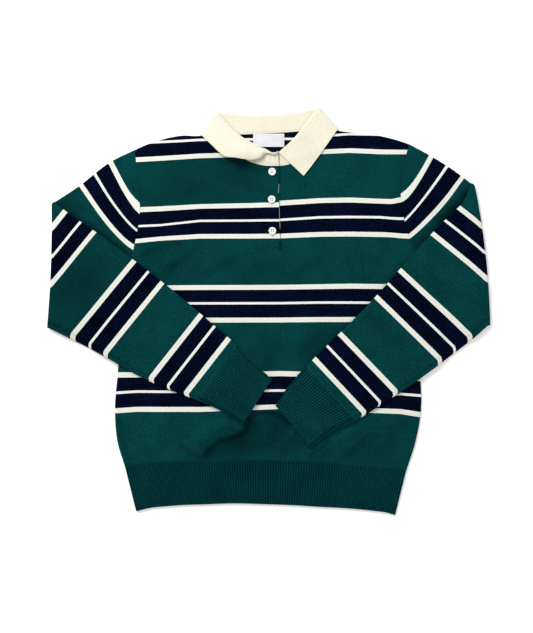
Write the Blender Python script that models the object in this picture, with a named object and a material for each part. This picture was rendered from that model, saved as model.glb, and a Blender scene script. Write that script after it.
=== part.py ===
"""A long-sleeved striped sweater with a knitted collar, laid flat with its sleeves folded over the front.

It lies on its back on the plane z = 0: X runs across it, Y up towards the collar and Z up off the
surface. Left and right are the wearer's, so the wearer's right side is at -X. Sizes are in
millimetres up to the point where a piece becomes an object.
"""
import math
from collections import namedtuple

import bmesh
import bpy
import numpy as np

MM = 0.001

# Cloth
KNIT_WALL = 1.6
COLLAR_WALL = 1.8
LABEL_WALL = 0.5
FACING_WALL = 0.6
SEAM_GAP = 0.3
FOLD_RADIUS = 2.0
QUARTER_TURN = FOLD_RADIUS * math.pi / 2
TWO_LAYERS = 2 * FOLD_RADIUS + SEAM_GAP
SLEEVE_RADIUS = TWO_LAYERS / 2
OVER_BASE = TWO_LAYERS + SEAM_GAP
TURN_ANGLES = (90, 45, 0, -45, -90)
COLLAR_SEAM_GAP = 0.35

# Ribbing
HEM_RIBS = 110
CUFF_RIBS = 26
RIB_DEPTH = 0.5

# Body, from the hem seam up to the shoulders. The armhole points run from the armpit to the shoulder tip
Side = namedtuple("Side", "seam_to_armpit armhole")
BODY_SIDES = {
    "right": Side(
        seam_to_armpit=[(-225, -236), (-234, -207), (-239, -150), (-235, -98), (-223.5, 38)],
        armhole=[(-223.5, 38), (-208, 106), (-200, 152), (-202, 190), (-208, 251)],
    ),
    "left": Side(
        seam_to_armpit=[(214, -244), (226, -207), (236, -150), (235, -98), (231, 49)],
        armhole=[(231, 49), (221, 104), (208, 150), (204, 205), (217, 260)],
    ),
}
HEM_SEAM = [(-225, -236), (-120, -230), (0, -229), (110, -234), (214, -244)]
HEM_EDGE = [(-207, -310), (-153, -303), (-71, -298), (12, -298.5), (100, -304), (196, -316)]
SEAM_TO_ARMPIT_ROWS = 7
ARMHOLE_ROWS = (0, 0.17, 0.35, 0.48, 0.6, 0.74, 0.87, 1)
SHOULDER_RIGHT = [(-208, 251), (-190, 259), (-168, 266.5), (-136, 273), (-104, 273)]
SHOULDER_LEFT = [(105, 280.5), (135, 277), (167, 273.5), (192, 268), (217, 260)]

# Placket
SLIT_TOP = (15.9, 225.5)
SLIT_HALF_WIDTH = 0.8
SLIT_END_ROW = 0.35
SLIT_END_Y = 100
STRAIGHT_WIDTH = 120
FLAP_RISE = 2.2
FLAP_WIDTH = 24
FLAP_FALL = 22
FLAP_START_BELOW = 8
FLAP_START_LENGTH = 16
BESIDE_SLIT_SHARE = 0.5
BESIDE_SLIT_LENGTH = 12
Strip = namedtuple("Strip", "low high width")
UNDERLAP = Strip(low=108, high=221, width=23)
FACING = Strip(low=128, high=221, width=8)
FACING_SHOWS = 0.9

# Collar. Each section runs from the neck seam over the roll to the leaf's edge; arch is the leaf's lift
Section = namedtuple("Section", "seam roll edge arch")
COLLAR_FRONT_RIGHT = [
    Section((15.1, 225.5), (-3, 247.5), (-31, 235), 15),
    Section((-12, 226), (-12, 252.5), (-38, 236), 14.5),
    Section((-32, 233), (-24.5, 258.5), (-52, 238.5), 12),
    Section((-50, 245), (-39.5, 267), (-70, 242), 8),
    Section((-75, 264), (-58, 281.5), (-87, 252), 3.5),
    Section((-86.8, 279.9), (-80, 304.5), (-100.5, 276.5), 0),
]
COLLAR_FRONT_LEFT = [
    Section((16.7, 225.5), (17.5, 247), (53, 210.5), 0),
    Section((31, 228), (25, 253), (63, 221), 0),
    Section((46, 237), (35, 260), (75, 234), 0),
    Section((60, 249), (45, 271.5), (86, 246), 0),
    Section((74, 265), (58.5, 289), (96, 262), 0),
    Section((85.3, 284.9), (76.5, 311), (101.5, 284), 0),
]
COLLAR_BACK = [
    Section((-86.8, 279.9), (-80, 304.5), (-100.5, 276.5), 0),
    Section((-49.6, 274.5), (-50, 304), (-58, 258), 0),
    Section((-18, 275.6), (-18, 302.5), (-19, 253), 0),
    Section((24.8, 277.6), (24.8, 304.5), (26, 254.5), 0),
    Section((52.7, 279.9), (54, 309), (64, 263), 0),
    Section((85.3, 284.9), (76.5, 311), (101.5, 284), 0),
]
STAND_OVER_SEAM = 6.0
FRONT_ROLL_RADIUS = 1.5
BACK_STAND_HEIGHT = 3.2
LEAF_CLEARANCE = 1.1
LEAF_FALL_POWER = 1.6
ARCH_POWER = 0.8
STAND_STEPS = 4
ROLL_STEPS = 4
LEAF_STEPS = 6
CREASE_STEPS = 4
BACK_LIFT = 2.4
LIFT_MARGIN = 14
LIFT_FALL = 26

# Sleeves. The upper arm runs from the armhole to the elbow fold, the forearm back from it to the cuff
Rails = namedtuple("Rails", "upper lower")
Sleeve = namedtuple("Sleeve", "upper_arm forearm cuff elbow_bow")
SLEEVES = {
    "right": Sleeve(
        upper_arm=Rails(
            upper=[(-208, 251), (-243, 234), (-296, 194), (-332.5, 170)],
            lower=[(-223.5, 38), (-280, 7), (-339.6, -26)],
        ),
        forearm=Rails(
            upper=[(-332.5, 170), (-313, 154), (-265, 121), (-208, 79), (-164, 45), (-51, -50)],
            lower=[(-339.6, -26), (-306, -43), (-256, -69), (-185, -108), (-113, -137)],
        ),
        cuff=Rails(
            upper=[(-51, -50), (-42, -62), (-28, -76), (5, -104)],
            lower=[(-113, -137), (-77, -153), (-41, -175)],
        ),
        elbow_bow=-2.5,
    ),
    "left": Sleeve(
        upper_arm=Rails(
            upper=[(217, 260), (252, 241), (281, 223), (314, 199)],
            lower=[(231, 49), (285, 16), (338.5, -22)],
        ),
        forearm=Rails(
            upper=[(314, 199), (298, 169), (274, 145), (222, 88), (168, 26.5), (59, -83)],
            lower=[(338.5, -22), (313, -44.5), (268, -79), (202, -126), (136.5, -168)],
        ),
        cuff=Rails(
            upper=[(59, -83), (52, -90), (32, -112), (10, -145)],
            lower=[(136.5, -168), (96, -187), (65, -212)],
        ),
        elbow_bow=5,
    ),
}
UPPER_ARM_STEPS = 5
ELBOW_STEPS = 6
FOREARM_STEPS = 9
CUFF_STEPS = 4
DRAPE_START = 20
DRAPE_LENGTH = 30
ELBOW_AXIS = TWO_LAYERS + SEAM_GAP / 2
ELBOW_NEUTRAL = ELBOW_AXIS - TWO_LAYERS / 2
ELBOW_TURN = math.pi * ELBOW_NEUTRAL
ELBOW_BOW_REACH = 90

# Buttons and label
BUTTON_DIAMETER = 11.5
BUTTON_THICKNESS = 2.4
BUTTON_RIM = 1.5
BUTTON_DISH = 0.6
BUTTON_HOLE_RADIUS = 0.8
BUTTON_HOLE_SPACING = 2.7
BUTTON_BEVEL = 0.5
BUTTON_SEGMENTS = 32
BUTTON_HOLE_SEGMENTS = 10
BUTTONS = {"top": (4.8, 216.4), "middle": (4.2, 173.8), "bottom": (5.3, 124.9)}
LABEL_CENTRE = (0, 266)
LABEL_SIZE = (47, 19.5)
LABEL_BULGE = 0.5

# Soft folds of the front: middle of each, its heading in degrees, half length, half width and height
FOLD_TO_SLEEVE = 6
FOLD_FADE = 25
Fold = namedtuple("Fold", "x y heading length width height")
FRONT_FOLDS = [
    Fold(-150, -190, 20, 60, 22, 1.6),
    Fold(10, -212, -8, 70, 16, 1.8),
    Fold(170, -200, -25, 55, 20, 1.5),
    Fold(-120, 60, 38, 40, 18, 1.2),
    Fold(90, 120, -30, 60, 25, 1.0),
]

Finish = namedtuple("Finish", "colour roughness")
FINISHES = {
    "green_knit": Finish((0.003, 0.044, 0.045), 0.9),
    "cream_knit": Finish((0.88, 0.84, 0.68), 0.9),
    "label": Finish((0.85, 0.85, 0.86), 0.8),
    "button": Finish((0.87, 0.86, 0.84), 0.25),
}


def smooth(value):
    """Rise evenly from 0 to 1 as value goes from 0 to 1."""
    value = np.clip(value, 0.0, 1.0)
    return value * value * (3.0 - 2.0 * value)


def curve(points, fractions, even=False):
    """Points of a smooth curve through points, at fractions of its length, or of their count where even."""
    points = np.asarray(points, float)
    runs = np.ones(len(points) - 1) if even else np.linalg.norm(np.diff(points, axis=0), axis=1)
    knots = np.concatenate([[0.0], np.cumsum(runs)])
    slopes = np.gradient(points, knots, axis=0)
    at = np.asarray(fractions, float) * knots[-1]
    first = np.clip(np.searchsorted(knots, at, side="right") - 1, 0, len(runs) - 1)
    run = runs[first][:, None]
    t = (at[:, None] - knots[first][:, None]) / run
    from_start = (2 * t**3 - 3 * t**2 + 1) * points[first] + (t**3 - 2 * t**2 + t) * run * slopes[first]
    to_end = (3 * t**2 - 2 * t**3) * points[first + 1] + (t**3 - t**2) * run * slopes[first + 1]
    return from_start + to_end


def unit(vector):
    vector = np.asarray(vector, float)
    return vector / np.linalg.norm(vector, axis=-1, keepdims=True)


def distance_outside(points, outline):
    """How far each plan point lies outside a closed outline, or 0 inside it."""
    start = np.asarray(outline, float)
    end = np.roll(start, -1, axis=0)
    run = end - start
    offset = points[:, None, :] - start
    along = np.clip((offset * run).sum(2) / (run * run).sum(1), 0, 1)
    distance = np.linalg.norm(offset - along[..., None] * run, axis=2).min(axis=1)
    x = points[:, None, 0]
    y = points[:, None, 1]
    spans = (start[:, 1] > y) != (end[:, 1] > y)
    rise = np.where(run[:, 1] == 0, 1.0, run[:, 1])
    crossing_x = start[:, 0] + run[:, 0] * (y - start[:, 1]) / rise
    inside = (spans & (x < crossing_x)).sum(axis=1) % 2 == 1
    return np.where(inside, 0.0, distance)


def leaf_outline():
    """The back of the collar leaf, which the back panel lies on."""
    return [section.roll for section in COLLAR_BACK] + [section.edge for section in reversed(COLLAR_BACK)]


def body_outline():
    """Side, armhole and shoulder lines of the body, all the way round."""
    right = BODY_SIDES["right"]
    left = BODY_SIDES["left"]
    up_right = right.seam_to_armpit + right.armhole[1:] + SHOULDER_RIGHT[1:]
    down_left = SHOULDER_LEFT + left.armhole[-2::-1] + left.seam_to_armpit[-2::-1]
    return up_right + down_left


def lift(points):
    """How far the panels rise off the floor where the back of the collar leaf lies beneath them."""
    beyond = distance_outside(points, leaf_outline()) - LIFT_MARGIN
    return BACK_LIFT * (1 - smooth(beyond / LIFT_FALL))


def flap_rise(points, left_of_slit):
    """Extra height of the front beside the slit, where its top edge lies on the underlap."""
    x = points[:, 0]
    y = points[:, 1]
    flap = 1 - smooth((SLIT_TOP[0] - FLAP_WIDTH - x) / FLAP_FALL)
    beside = 1 - smooth((x - SLIT_TOP[0]) / FLAP_FALL)
    start = smooth((y - SLIT_END_Y + FLAP_START_BELOW) / FLAP_START_LENGTH)
    fall = BESIDE_SLIT_SHARE * (1 - smooth((y - SLIT_END_Y) / BESIDE_SLIT_LENGTH))
    return FLAP_RISE * np.where(left_of_slit, flap * start, beside * np.minimum(start, fall))


def fold_rise(points):
    """Height of the soft folds of the front."""
    height = np.zeros(len(points))
    for fold in FRONT_FOLDS:
        heading = math.radians(fold.heading)
        x = points[:, 0] - fold.x
        y = points[:, 1] - fold.y
        along = (x * math.cos(heading) + y * math.sin(heading)) / fold.length
        across = (y * math.cos(heading) - x * math.sin(heading)) / fold.width
        height += fold.height * np.exp(-(along**2) - across**2)
    return height


def clear_of_sleeves(points):
    """1 well away from the folded sleeves and 0 beneath them, so that no fold pushes into one."""
    gaps = []
    for sleeve in SLEEVES.values():
        for rails in (sleeve.upper_arm, sleeve.forearm, sleeve.cuff):
            gaps.append(distance_outside(points, rails.upper + rails.lower[::-1]))
    return smooth((np.min(gaps, axis=0) - FOLD_TO_SLEEVE) / FOLD_FADE)


def add_piece(name, points, faces, finish):
    """Make one closed object from points in millimetres."""
    mesh = bpy.data.meshes.new(name)
    build = bmesh.new()
    verts = [build.verts.new(np.asarray(point) * MM) for point in points]
    for face in faces:
        build.faces.new([verts[i] for i in face])
    bmesh.ops.recalc_face_normals(build, faces=build.faces)
    build.to_mesh(mesh)
    build.free()
    piece = bpy.data.objects.new(name, mesh)
    bpy.context.scene.collection.objects.link(piece)
    mesh.materials.append(finish_material(finish))
    mesh.shade_smooth()
    mesh.set_sharp_from_angle(angle=math.radians(50))
    return piece


def finish_material(name):
    material = bpy.data.materials.get(name)
    if material is None:
        material = bpy.data.materials.new(name)
        material.use_nodes = True
        shader = material.node_tree.nodes["Principled BSDF"]
        shader.inputs["Base Color"].default_value = (*FINISHES[name].colour, 1)
        shader.inputs["Roughness"].default_value = FINISHES[name].roughness
        shader.inputs["Metallic"].default_value = 0
    return material


def top_of(piece, places):
    """Heights of a piece's upper side at some plan points, 0 beside it."""
    bpy.context.view_layer.update()
    heights = []
    for x, y in places:
        found, hit, _, _ = piece.ray_cast((x * MM, y * MM, 1), (0, 0, -1))
        heights.append(hit[2] / MM if found else 0.0)
    return np.array(heights)


def close_sheet(outer, inner, faces):
    """Join two like-numbered surfaces along every edge that only one face has."""
    count = len(outer)
    uses = {}
    for face in faces:
        for a, b in zip(face, face[1:] + face[:1]):
            uses.setdefault(frozenset((a, b)), []).append((a, b))
    walls = [pair[0] for pair in uses.values() if len(pair) == 1]
    closed = list(faces)
    closed += [[count + i for i in reversed(face)] for face in faces]
    closed += [[b, a, count + a, count + b] for a, b in walls]
    return np.concatenate([outer, inner]), closed


def grid_faces(rows, columns, wrap=False):
    last = columns if wrap else columns - 1
    faces = []
    for first in range(0, (rows - 1) * columns, columns):
        for j in range(last):
            k = (j + 1) % columns
            faces.append([first + j, first + k, first + columns + k, first + columns + j])
    return faces


def zip_rim(first, first_at, second, second_at):
    """Triangles between two lines of points that start and end together, read along their fractions."""
    triangles = []
    i = 0
    j = 0
    while i < len(first) - 1 or j < len(second) - 1:
        step_first = j == len(second) - 1 or (i < len(first) - 1 and first_at[i + 1] <= second_at[j + 1])
        if step_first:
            triangles.append([first[i], first[i + 1], second[j]])
            i += 1
        else:
            triangles.append([first[i], second[j + 1], second[j]])
            j += 1
    return triangles


def line_fractions(points):
    runs = np.concatenate([[0.0], np.cumsum(np.linalg.norm(np.diff(points, axis=0), axis=1))])
    return runs / runs[-1]


def close_ribbed(outer, inner, wrap):
    """Join a fine outer grid to a coarser inner grid around their rims."""
    rows, columns = outer.shape[:2]
    plain_rows, plain_columns = inner.shape[:2]
    first_inner = rows * columns
    points = np.concatenate([outer.reshape(-1, 3), inner.reshape(-1, 3)])
    faces = grid_faces(rows, columns, wrap)
    faces += [[first_inner + i for i in reversed(face)] for face in grid_faces(plain_rows, plain_columns, wrap)]
    ends = [(0, 0), (rows - 1, plain_rows - 1)]
    for row, plain_row in ends:
        fine = [row * columns + j for j in range(columns)]
        plain = [first_inner + plain_row * plain_columns + j for j in range(plain_columns)]
        if wrap:
            fine.append(fine[0])
            plain.append(plain[0])
        faces += zip_rim(fine, line_fractions(points[fine]), plain, line_fractions(points[plain]))
    if not wrap:
        for column, plain_column in [(0, 0), (columns - 1, plain_columns - 1)]:
            fine = [i * columns + column for i in range(rows)]
            plain = [first_inner + i * plain_columns + plain_column for i in range(plain_rows)]
            faces += zip_rim(fine, line_fractions(points[fine]), plain, line_fractions(points[plain]))
    return points, faces


def turn(run, radius, folded):
    """Inset and rise of a wall at a run from its edge, round a fold where folded is 1 and flat where 0."""
    angle = np.minimum(run / FOLD_RADIUS, math.pi / 2)
    past = np.maximum(run - QUARTER_TURN, 0)
    round_inset = FOLD_RADIUS - radius * np.cos(angle)
    flat_inset = np.minimum(run / QUARTER_TURN, 1) * FOLD_RADIUS
    inset = folded * round_inset + (1 - folded) * flat_inset + past
    rise = folded * np.sin(angle) + (1 - folded)
    return inset, rise


def coons(low, high, right, left, across, up):
    """A plan patch between four edge lines; across and up are the fractions of its columns and rows."""
    f = np.asarray(across)[None, :, None]
    s = np.asarray(up)[:, None, None]
    between_ends = (1 - s) * low[None] + s * high[None]
    between_sides = (1 - f) * right[:, None] + f * left[:, None]
    corners = (1 - s) * ((1 - f) * low[0] + f * low[-1]) + s * ((1 - f) * high[0] + f * high[-1])
    return between_ends + between_sides - corners


def body_panel(name, neck, lying, slit_at=None):
    """One knitted body panel; neck runs from right to left, lying is 1 for the front and -1 for the back."""
    high = np.array(SHOULDER_RIGHT + neck + SHOULDER_LEFT, float)
    across = (high[:, 0] - high[0, 0]) / (high[-1, 0] - high[0, 0])
    low = curve(HEM_SEAM, across)
    sides = {}
    for which, side in BODY_SIDES.items():
        lower = curve(side.seam_to_armpit, np.linspace(0, 1, SEAM_TO_ARMPIT_ROWS + 1))
        sides[which] = np.concatenate([lower, curve(side.armhole, ARMHOLE_ROWS)[1:]])
    heights = sides["right"][:, 1]
    up = (heights - heights[0]) / (heights[-1] - heights[0])
    patch = coons(low, high, sides["right"], sides["left"], across, up)
    shoulder_points = len(SHOULDER_RIGHT)
    if slit_at is not None:
        slit_row = SEAM_TO_ARMPIT_ROWS + ARMHOLE_ROWS.index(SLIT_END_ROW)
        off_line = SLIT_TOP[0] - patch[slit_row:, shoulder_points + slit_at, 0]
        beside = 1 - smooth(np.abs(patch[slit_row:, :, 0] - SLIT_TOP[0]) / STRAIGHT_WIDTH)
        patch[slit_row:, :, 0] += off_line[:, None] * beside
    row_heading = unit(patch[:, -1] - patch[:, 0])
    column_heading = unit(patch[0] - patch[-1])

    edge_runs = [0, QUARTER_TURN / 2, QUARTER_TURN]
    columns = [(0, run, 1) for run in edge_runs]
    columns += [(j, 0, 0) for j in range(1, len(high) - 1)]
    columns += [(len(high) - 1, run, -1) for run in reversed(edge_runs)]
    rows = [(i, None) for i in range(len(up) - 1)] + [(len(up) - 1, run) for run in reversed(edge_runs)]
    if slit_at is not None:
        slit_column = next(k for k, column in enumerate(columns) if column[0] == shoulder_points + slit_at)
        columns.insert(slit_column + 1, columns[slit_column])

    layers = []
    for radius in (FOLD_RADIUS, FOLD_RADIUS - KNIT_WALL):
        plan = np.zeros((len(rows), len(columns), 2))
        height = np.zeros((len(rows), len(columns)))
        left_of_slit = np.ones((len(rows), len(columns)), bool)
        for r, (i, top_run) in enumerate(rows):
            side_folded = 1.0 if i < SEAM_TO_ARMPIT_ROWS else 0.0
            for c, (j, side_run, inward) in enumerate(columns):
                point = patch[i, j].copy()
                rise = 1.0
                if inward:
                    inset, rise = turn(side_run, radius, side_folded)
                    point += inward * inset * row_heading[i]
                if top_run is not None:
                    on_shoulder = j < shoulder_points or j >= len(high) - shoulder_points
                    inset, top_rise = turn(top_run, radius, float(on_shoulder))
                    point += inset * column_heading[j]
                    rise *= top_rise
                if slit_at is not None:
                    left_of_slit[r, c] = c <= slit_column
                    if i > slit_row and c in (slit_column, slit_column + 1):
                        point[0] += SLIT_HALF_WIDTH * (-1 if c == slit_column else 1)
                plan[r, c] = point
                height[r, c] = radius * rise
        flat = plan.reshape(-1, 2)
        level = TWO_LAYERS / 2 + lift(flat) + lying * (SEAM_GAP / 2 + height.reshape(-1))
        if lying > 0:
            level += flap_rise(flat, left_of_slit.reshape(-1)) if slit_at is not None else 0
            inside = smooth(distance_inside_body(flat) / FOLD_FADE)
            level += fold_rise(flat) * clear_of_sleeves(flat) * inside
        layers.append(np.column_stack([flat, level]))

    faces = grid_faces(len(rows), len(columns))
    if slit_at is not None:
        width = len(columns)
        faces = [face for face in faces if face[0] % width != slit_column]
        merged = {r * width + slit_column + 1: r * width + slit_column for r in range(slit_row + 1)}
        faces = [[merged.get(i, i) for i in face] for face in faces]
        kept = [i for i in range(len(rows) * width) if i not in merged]
        number = {i: k for k, i in enumerate(kept)}
        faces = [[number[i] for i in face] for face in faces]
        layers = [layer[kept] for layer in layers]
    points, closed = close_sheet(layers[0], layers[1], faces)
    return add_piece(name, points, closed, "green_knit")


def distance_inside_body(points):
    """Rough distance in from the body's sides and hem seam."""
    lowest = min(y for x, y in HEM_SEAM)
    half_width = BODY_SIDES["left"].armhole[0][0]
    from_side = half_width - np.abs(points[:, 0])
    return np.clip(np.minimum(from_side, points[:, 1] - lowest), 0, None)


def hem_rib(name, lying, ribs):
    """The hem band: its wall runs round a fold at each side, and its outside has ribs where ribs is set."""
    seam = np.array(HEM_SEAM, float) - (0, SEAM_GAP)
    edge = np.array(HEM_EDGE, float)
    plain_columns = 24
    rows = (0, 0.5, 1)

    def layer(columns, radius_at):
        run = np.linspace(0, 1, columns + 1)
        grid = []
        for row in rows:
            seam_ends = seam[[0, -1]]
            edge_ends = edge[[0, -1]]
            ends = (1 - row) * seam_ends + row * edge_ends
            width = np.linalg.norm(ends[1] - ends[0])
            unrolled = width - 2 * FOLD_RADIUS + 2 * QUARTER_TURN
            from_edge = np.minimum(run, 1 - run) * unrolled
            inset, rise = turn(from_edge, radius_at, 1.0)
            fraction = np.where(run < 0.5, inset, width - inset) / width
            plan = (1 - row) * curve(seam, fraction) + row * curve(edge, fraction)
            level = TWO_LAYERS / 2 + lying * (SEAM_GAP / 2 + radius_at * rise)
            grid.append(np.column_stack([plan, level]))
        return np.array(grid)

    if ribs:
        outside = FOLD_RADIUS - RIB_DEPTH * (np.arange(2 * ribs + 1) % 2)
        outer = layer(2 * ribs, outside)
    else:
        outer = layer(plain_columns, np.full(plain_columns + 1, FOLD_RADIUS))
    inner = layer(plain_columns, np.full(plain_columns + 1, FOLD_RADIUS - KNIT_WALL))
    points, faces = close_ribbed(outer, inner, wrap=False)
    return add_piece(name, points, faces, "green_knit")


def tube_marks(fractions, radius):
    """Marks round a flattened tube: across from the lower rail (0) to the upper (1), inset and height."""
    angles = np.radians(TURN_ANGLES)
    inset = SLEEVE_RADIUS - radius * np.cos(angles)
    height = SLEEVE_RADIUS + radius * np.sin(angles)
    upper_turn = np.column_stack([np.ones(len(angles)), -inset, height])
    lower_turn = np.column_stack([np.zeros(len(angles)), inset, height])[::-1]
    below = [(fraction, 0, SLEEVE_RADIUS - radius) for fraction in reversed(fractions)]
    above = [(fraction, 0, SLEEVE_RADIUS + radius) for fraction in fractions]
    return np.concatenate([upper_turn, below, lower_turn, above])


def across_rails(upper, lower, marks):
    """Plan points of one station, each mark placed between the two rails."""
    span = upper - lower
    return lower + marks[:, :1] * span + marks[:, 1:2] * unit(span)


def sleeve_stations(sleeve, armhole, outward_sign):
    """Unfolded plan of a sleeve: (upper, lower, bulge) per station, and the frame of its elbow fold."""
    hinge = np.array(sleeve.upper_arm.lower[-1], float)
    along = unit(np.array(sleeve.upper_arm.upper[-1], float) - hinge)
    outward = outward_sign * np.array([along[1], -along[0]])
    stations = []
    steps = np.linspace(0, 1, UPPER_ARM_STEPS + 1)
    uppers = curve(sleeve.upper_arm.upper, steps)
    lowers = curve(sleeve.upper_arm.lower, steps)
    for step, upper, lower in zip(steps, uppers, lowers):
        gap = np.array([outward_sign * SEAM_GAP * (1 - step), 0])
        stations.append((upper + gap, lower + gap, (1 - step) ** 2))
    for step in range(1, ELBOW_STEPS + 1):
        beyond = outward * ELBOW_TURN * step / ELBOW_STEPS
        stations.append((stations[UPPER_ARM_STEPS][0] + beyond, stations[UPPER_ARM_STEPS][1] + beyond, 0))
    steps = np.linspace(0, 1, FOREARM_STEPS + 1)[1:]
    for upper, lower in zip(curve(sleeve.forearm.upper, steps), curve(sleeve.forearm.lower, steps)):
        opened = []
        for point in (upper, lower):
            inward = (hinge - point) @ outward
            opened.append(hinge + (point - hinge) @ along * along + (inward + ELBOW_TURN) * outward)
        stations.append((opened[0], opened[1], 0))
    return stations, hinge, along, outward


def fold_elbow(flat, height, hinge, along, outward, bow, fold_length):
    """Fold the unfolded tube over its elbow line and let the forearm down where nothing lies beneath it."""
    beyond = (flat - hinge) @ outward
    place = (flat - hinge) @ along
    angle = np.clip(beyond / ELBOW_NEUTRAL, 0, math.pi)
    reach = ELBOW_AXIS - height
    past = np.maximum(beyond - ELBOW_TURN, 0)
    out = np.where(beyond < 0, beyond, reach * np.sin(angle) - past)
    level = np.where(beyond < 0, height, ELBOW_AXIS - reach * np.cos(angle))
    middle = 1 - (2 * place / fold_length - 1) ** 2
    out_bowed = out + bow * np.clip(middle, 0, 1) * smooth(1 - np.abs(out) / ELBOW_BOW_REACH)
    plan = hinge + place[:, None] * along + out_bowed[:, None] * outward
    return plan, level, past


def sleeve_tube(name, which):
    """One sleeve from the armhole to the cuff seam, in one piece."""
    sleeve = SLEEVES[which]
    armhole = BODY_SIDES[which].armhole
    stations, hinge, along, outward = sleeve_stations(sleeve, armhole, -1 if which == "right" else 1)
    fold_length = np.linalg.norm(np.subtract(sleeve.upper_arm.upper[-1], hinge))
    supports = [sleeve.upper_arm.upper + sleeve.upper_arm.lower[::-1], body_outline()]
    layers = []
    for radius in (SLEEVE_RADIUS, SLEEVE_RADIUS - KNIT_WALL):
        marks = tube_marks(ARMHOLE_ROWS[1:-1], radius)
        rows = []
        for upper, lower, bulge in stations:
            flat = across_rails(upper, lower, marks)
            straight = np.array(armhole[0]) + marks[:, :1] * np.subtract(armhole[-1], armhole[0])
            flat += bulge * (curve(armhole, marks[:, 0]) - straight)
            plan, level, past = fold_elbow(
                flat, marks[:, 2], hinge, along, outward, sleeve.elbow_bow, fold_length
            )
            unsupported = np.min([distance_outside(plan, support) for support in supports], axis=0)
            level -= (past > 0) * OVER_BASE * smooth((unsupported - DRAPE_START) / DRAPE_LENGTH)
            rows.append(np.column_stack([plan, level]))
        layers.append(np.array(rows))
    points, faces = close_ribbed(layers[0], layers[1], wrap=True)
    return add_piece(name, points, faces, "green_knit")


def cuff_tube(name, which):
    """A ribbed cuff, which lies on the front of the body with its ribs along it."""
    rails = SLEEVES[which].cuff
    steps = np.linspace(0, 1, CUFF_STEPS + 1)
    uppers = curve(rails.upper, steps)
    lowers = curve(rails.lower, steps)
    plain = list(ARMHOLE_ROWS[1:-1])
    ribbed = [k / (2 * CUFF_RIBS) for k in range(1, 2 * CUFF_RIBS)]
    outer_marks = tube_marks(ribbed, SLEEVE_RADIUS)
    turn_count = len(TURN_ANGLES)
    below = slice(turn_count, turn_count + len(ribbed))
    above = slice(2 * turn_count + len(ribbed), None)
    outer_marks[above, 2] -= RIB_DEPTH * (np.arange(len(ribbed)) % 2 == 0)
    below_marks = [(fraction, 0, 0) for fraction in reversed(plain)]
    outer_marks = np.concatenate([outer_marks[: below.start], below_marks, outer_marks[below.stop :]])
    inner_marks = tube_marks(plain, SLEEVE_RADIUS - KNIT_WALL)
    layers = []
    for marks in (outer_marks, inner_marks):
        rows = []
        for step, upper, lower in zip(steps, uppers, lowers):
            heading = unit((uppers[-1] + lowers[-1]) - (uppers[0] + lowers[0]))
            plan = across_rails(upper, lower, marks) + heading * SEAM_GAP * (1 - step)
            rows.append(np.column_stack([plan, marks[:, 2] + OVER_BASE]))
        layers.append(np.array(rows))
    points, faces = close_ribbed(layers[0], layers[1], wrap=True)
    return add_piece(name, points, faces, "green_knit")


def with_halfway(sections):
    """The sections' seam, roll, edge and arch as arrays, with one more half way between each two."""
    count = len(sections)
    marks = np.linspace(0, count - 1, 2 * count - 1)
    seam = np.array([section.seam for section in sections], float)
    seam = np.column_stack([np.interp(marks, range(count), seam[:, k]) for k in (0, 1)])
    rest = np.array([(*section.roll, *section.edge, section.arch) for section in sections], float)
    rest = curve(rest, marks / (count - 1), even=True)
    return seam, rest[:, 0:2], rest[:, 2:4], rest[:, 4]


def collar_profile(seam, seam_z, roll, stand_z, leaf_z, edge, edge_z, arch):
    """Middle line of the collar's wall from the neck seam over the roll to the leaf's edge."""
    up = unit(roll - seam)
    start = seam + up * COLLAR_SEAM_GAP
    line = []
    for step in range(STAND_STEPS):
        part = step / STAND_STEPS
        line.append((*(start + part * (roll - start)), seam_z + part * (stand_z - seam_z)))
    radius = abs(leaf_z - stand_z) / 2
    for step in range(ROLL_STEPS + 1):
        angle = math.pi * step / ROLL_STEPS
        level = (stand_z + leaf_z) / 2 + (stand_z - leaf_z) / 2 * math.cos(angle)
        line.append((*(roll + up * radius * math.sin(angle)), level))
    for step in range(1, LEAF_STEPS + 1):
        part = step / LEAF_STEPS
        fall = (leaf_z - edge_z) * (1 - part) ** LEAF_FALL_POWER
        rise = arch * math.sin(math.pi * part**ARCH_POWER)
        line.append((*(roll + part * (edge - roll)), edge_z + fall + rise))
    return np.array(line)


def collar_front(sections, left_of_slit, front):
    seam, roll, edge, arch = with_halfway(sections)
    beside = np.full(len(seam), left_of_slit)
    seam_z = TWO_LAYERS - KNIT_WALL / 2 + lift(seam) + flap_rise(seam, beside)
    edge_z = TWO_LAYERS + lift(edge) + flap_rise(edge, beside) + LEAF_CLEARANCE + COLLAR_WALL / 2
    leaf_z = STAND_OVER_SEAM + 2 * FRONT_ROLL_RADIUS
    stand_z = STAND_OVER_SEAM
    profiles = []
    for k in range(len(seam)):
        line = collar_profile(seam[k], seam_z[k], roll[k], stand_z, leaf_z, edge[k], edge_z[k], arch[k])
        leaf = line[-LEAF_STEPS:]
        leaf[:, 2] = np.maximum(leaf[:, 2], top_of(front, leaf[:, :2]) + LEAF_CLEARANCE + COLLAR_WALL / 2)
        profiles.append(line)
    return profiles


def collar_back():
    seam, roll, edge, arch = with_halfway(COLLAR_BACK)
    low = COLLAR_WALL / 2
    return [
        collar_profile(seam[k], BACK_STAND_HEIGHT, roll[k], BACK_STAND_HEIGHT, low, edge[k], low, arch[k])
        for k in range(len(seam))
    ]


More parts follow.
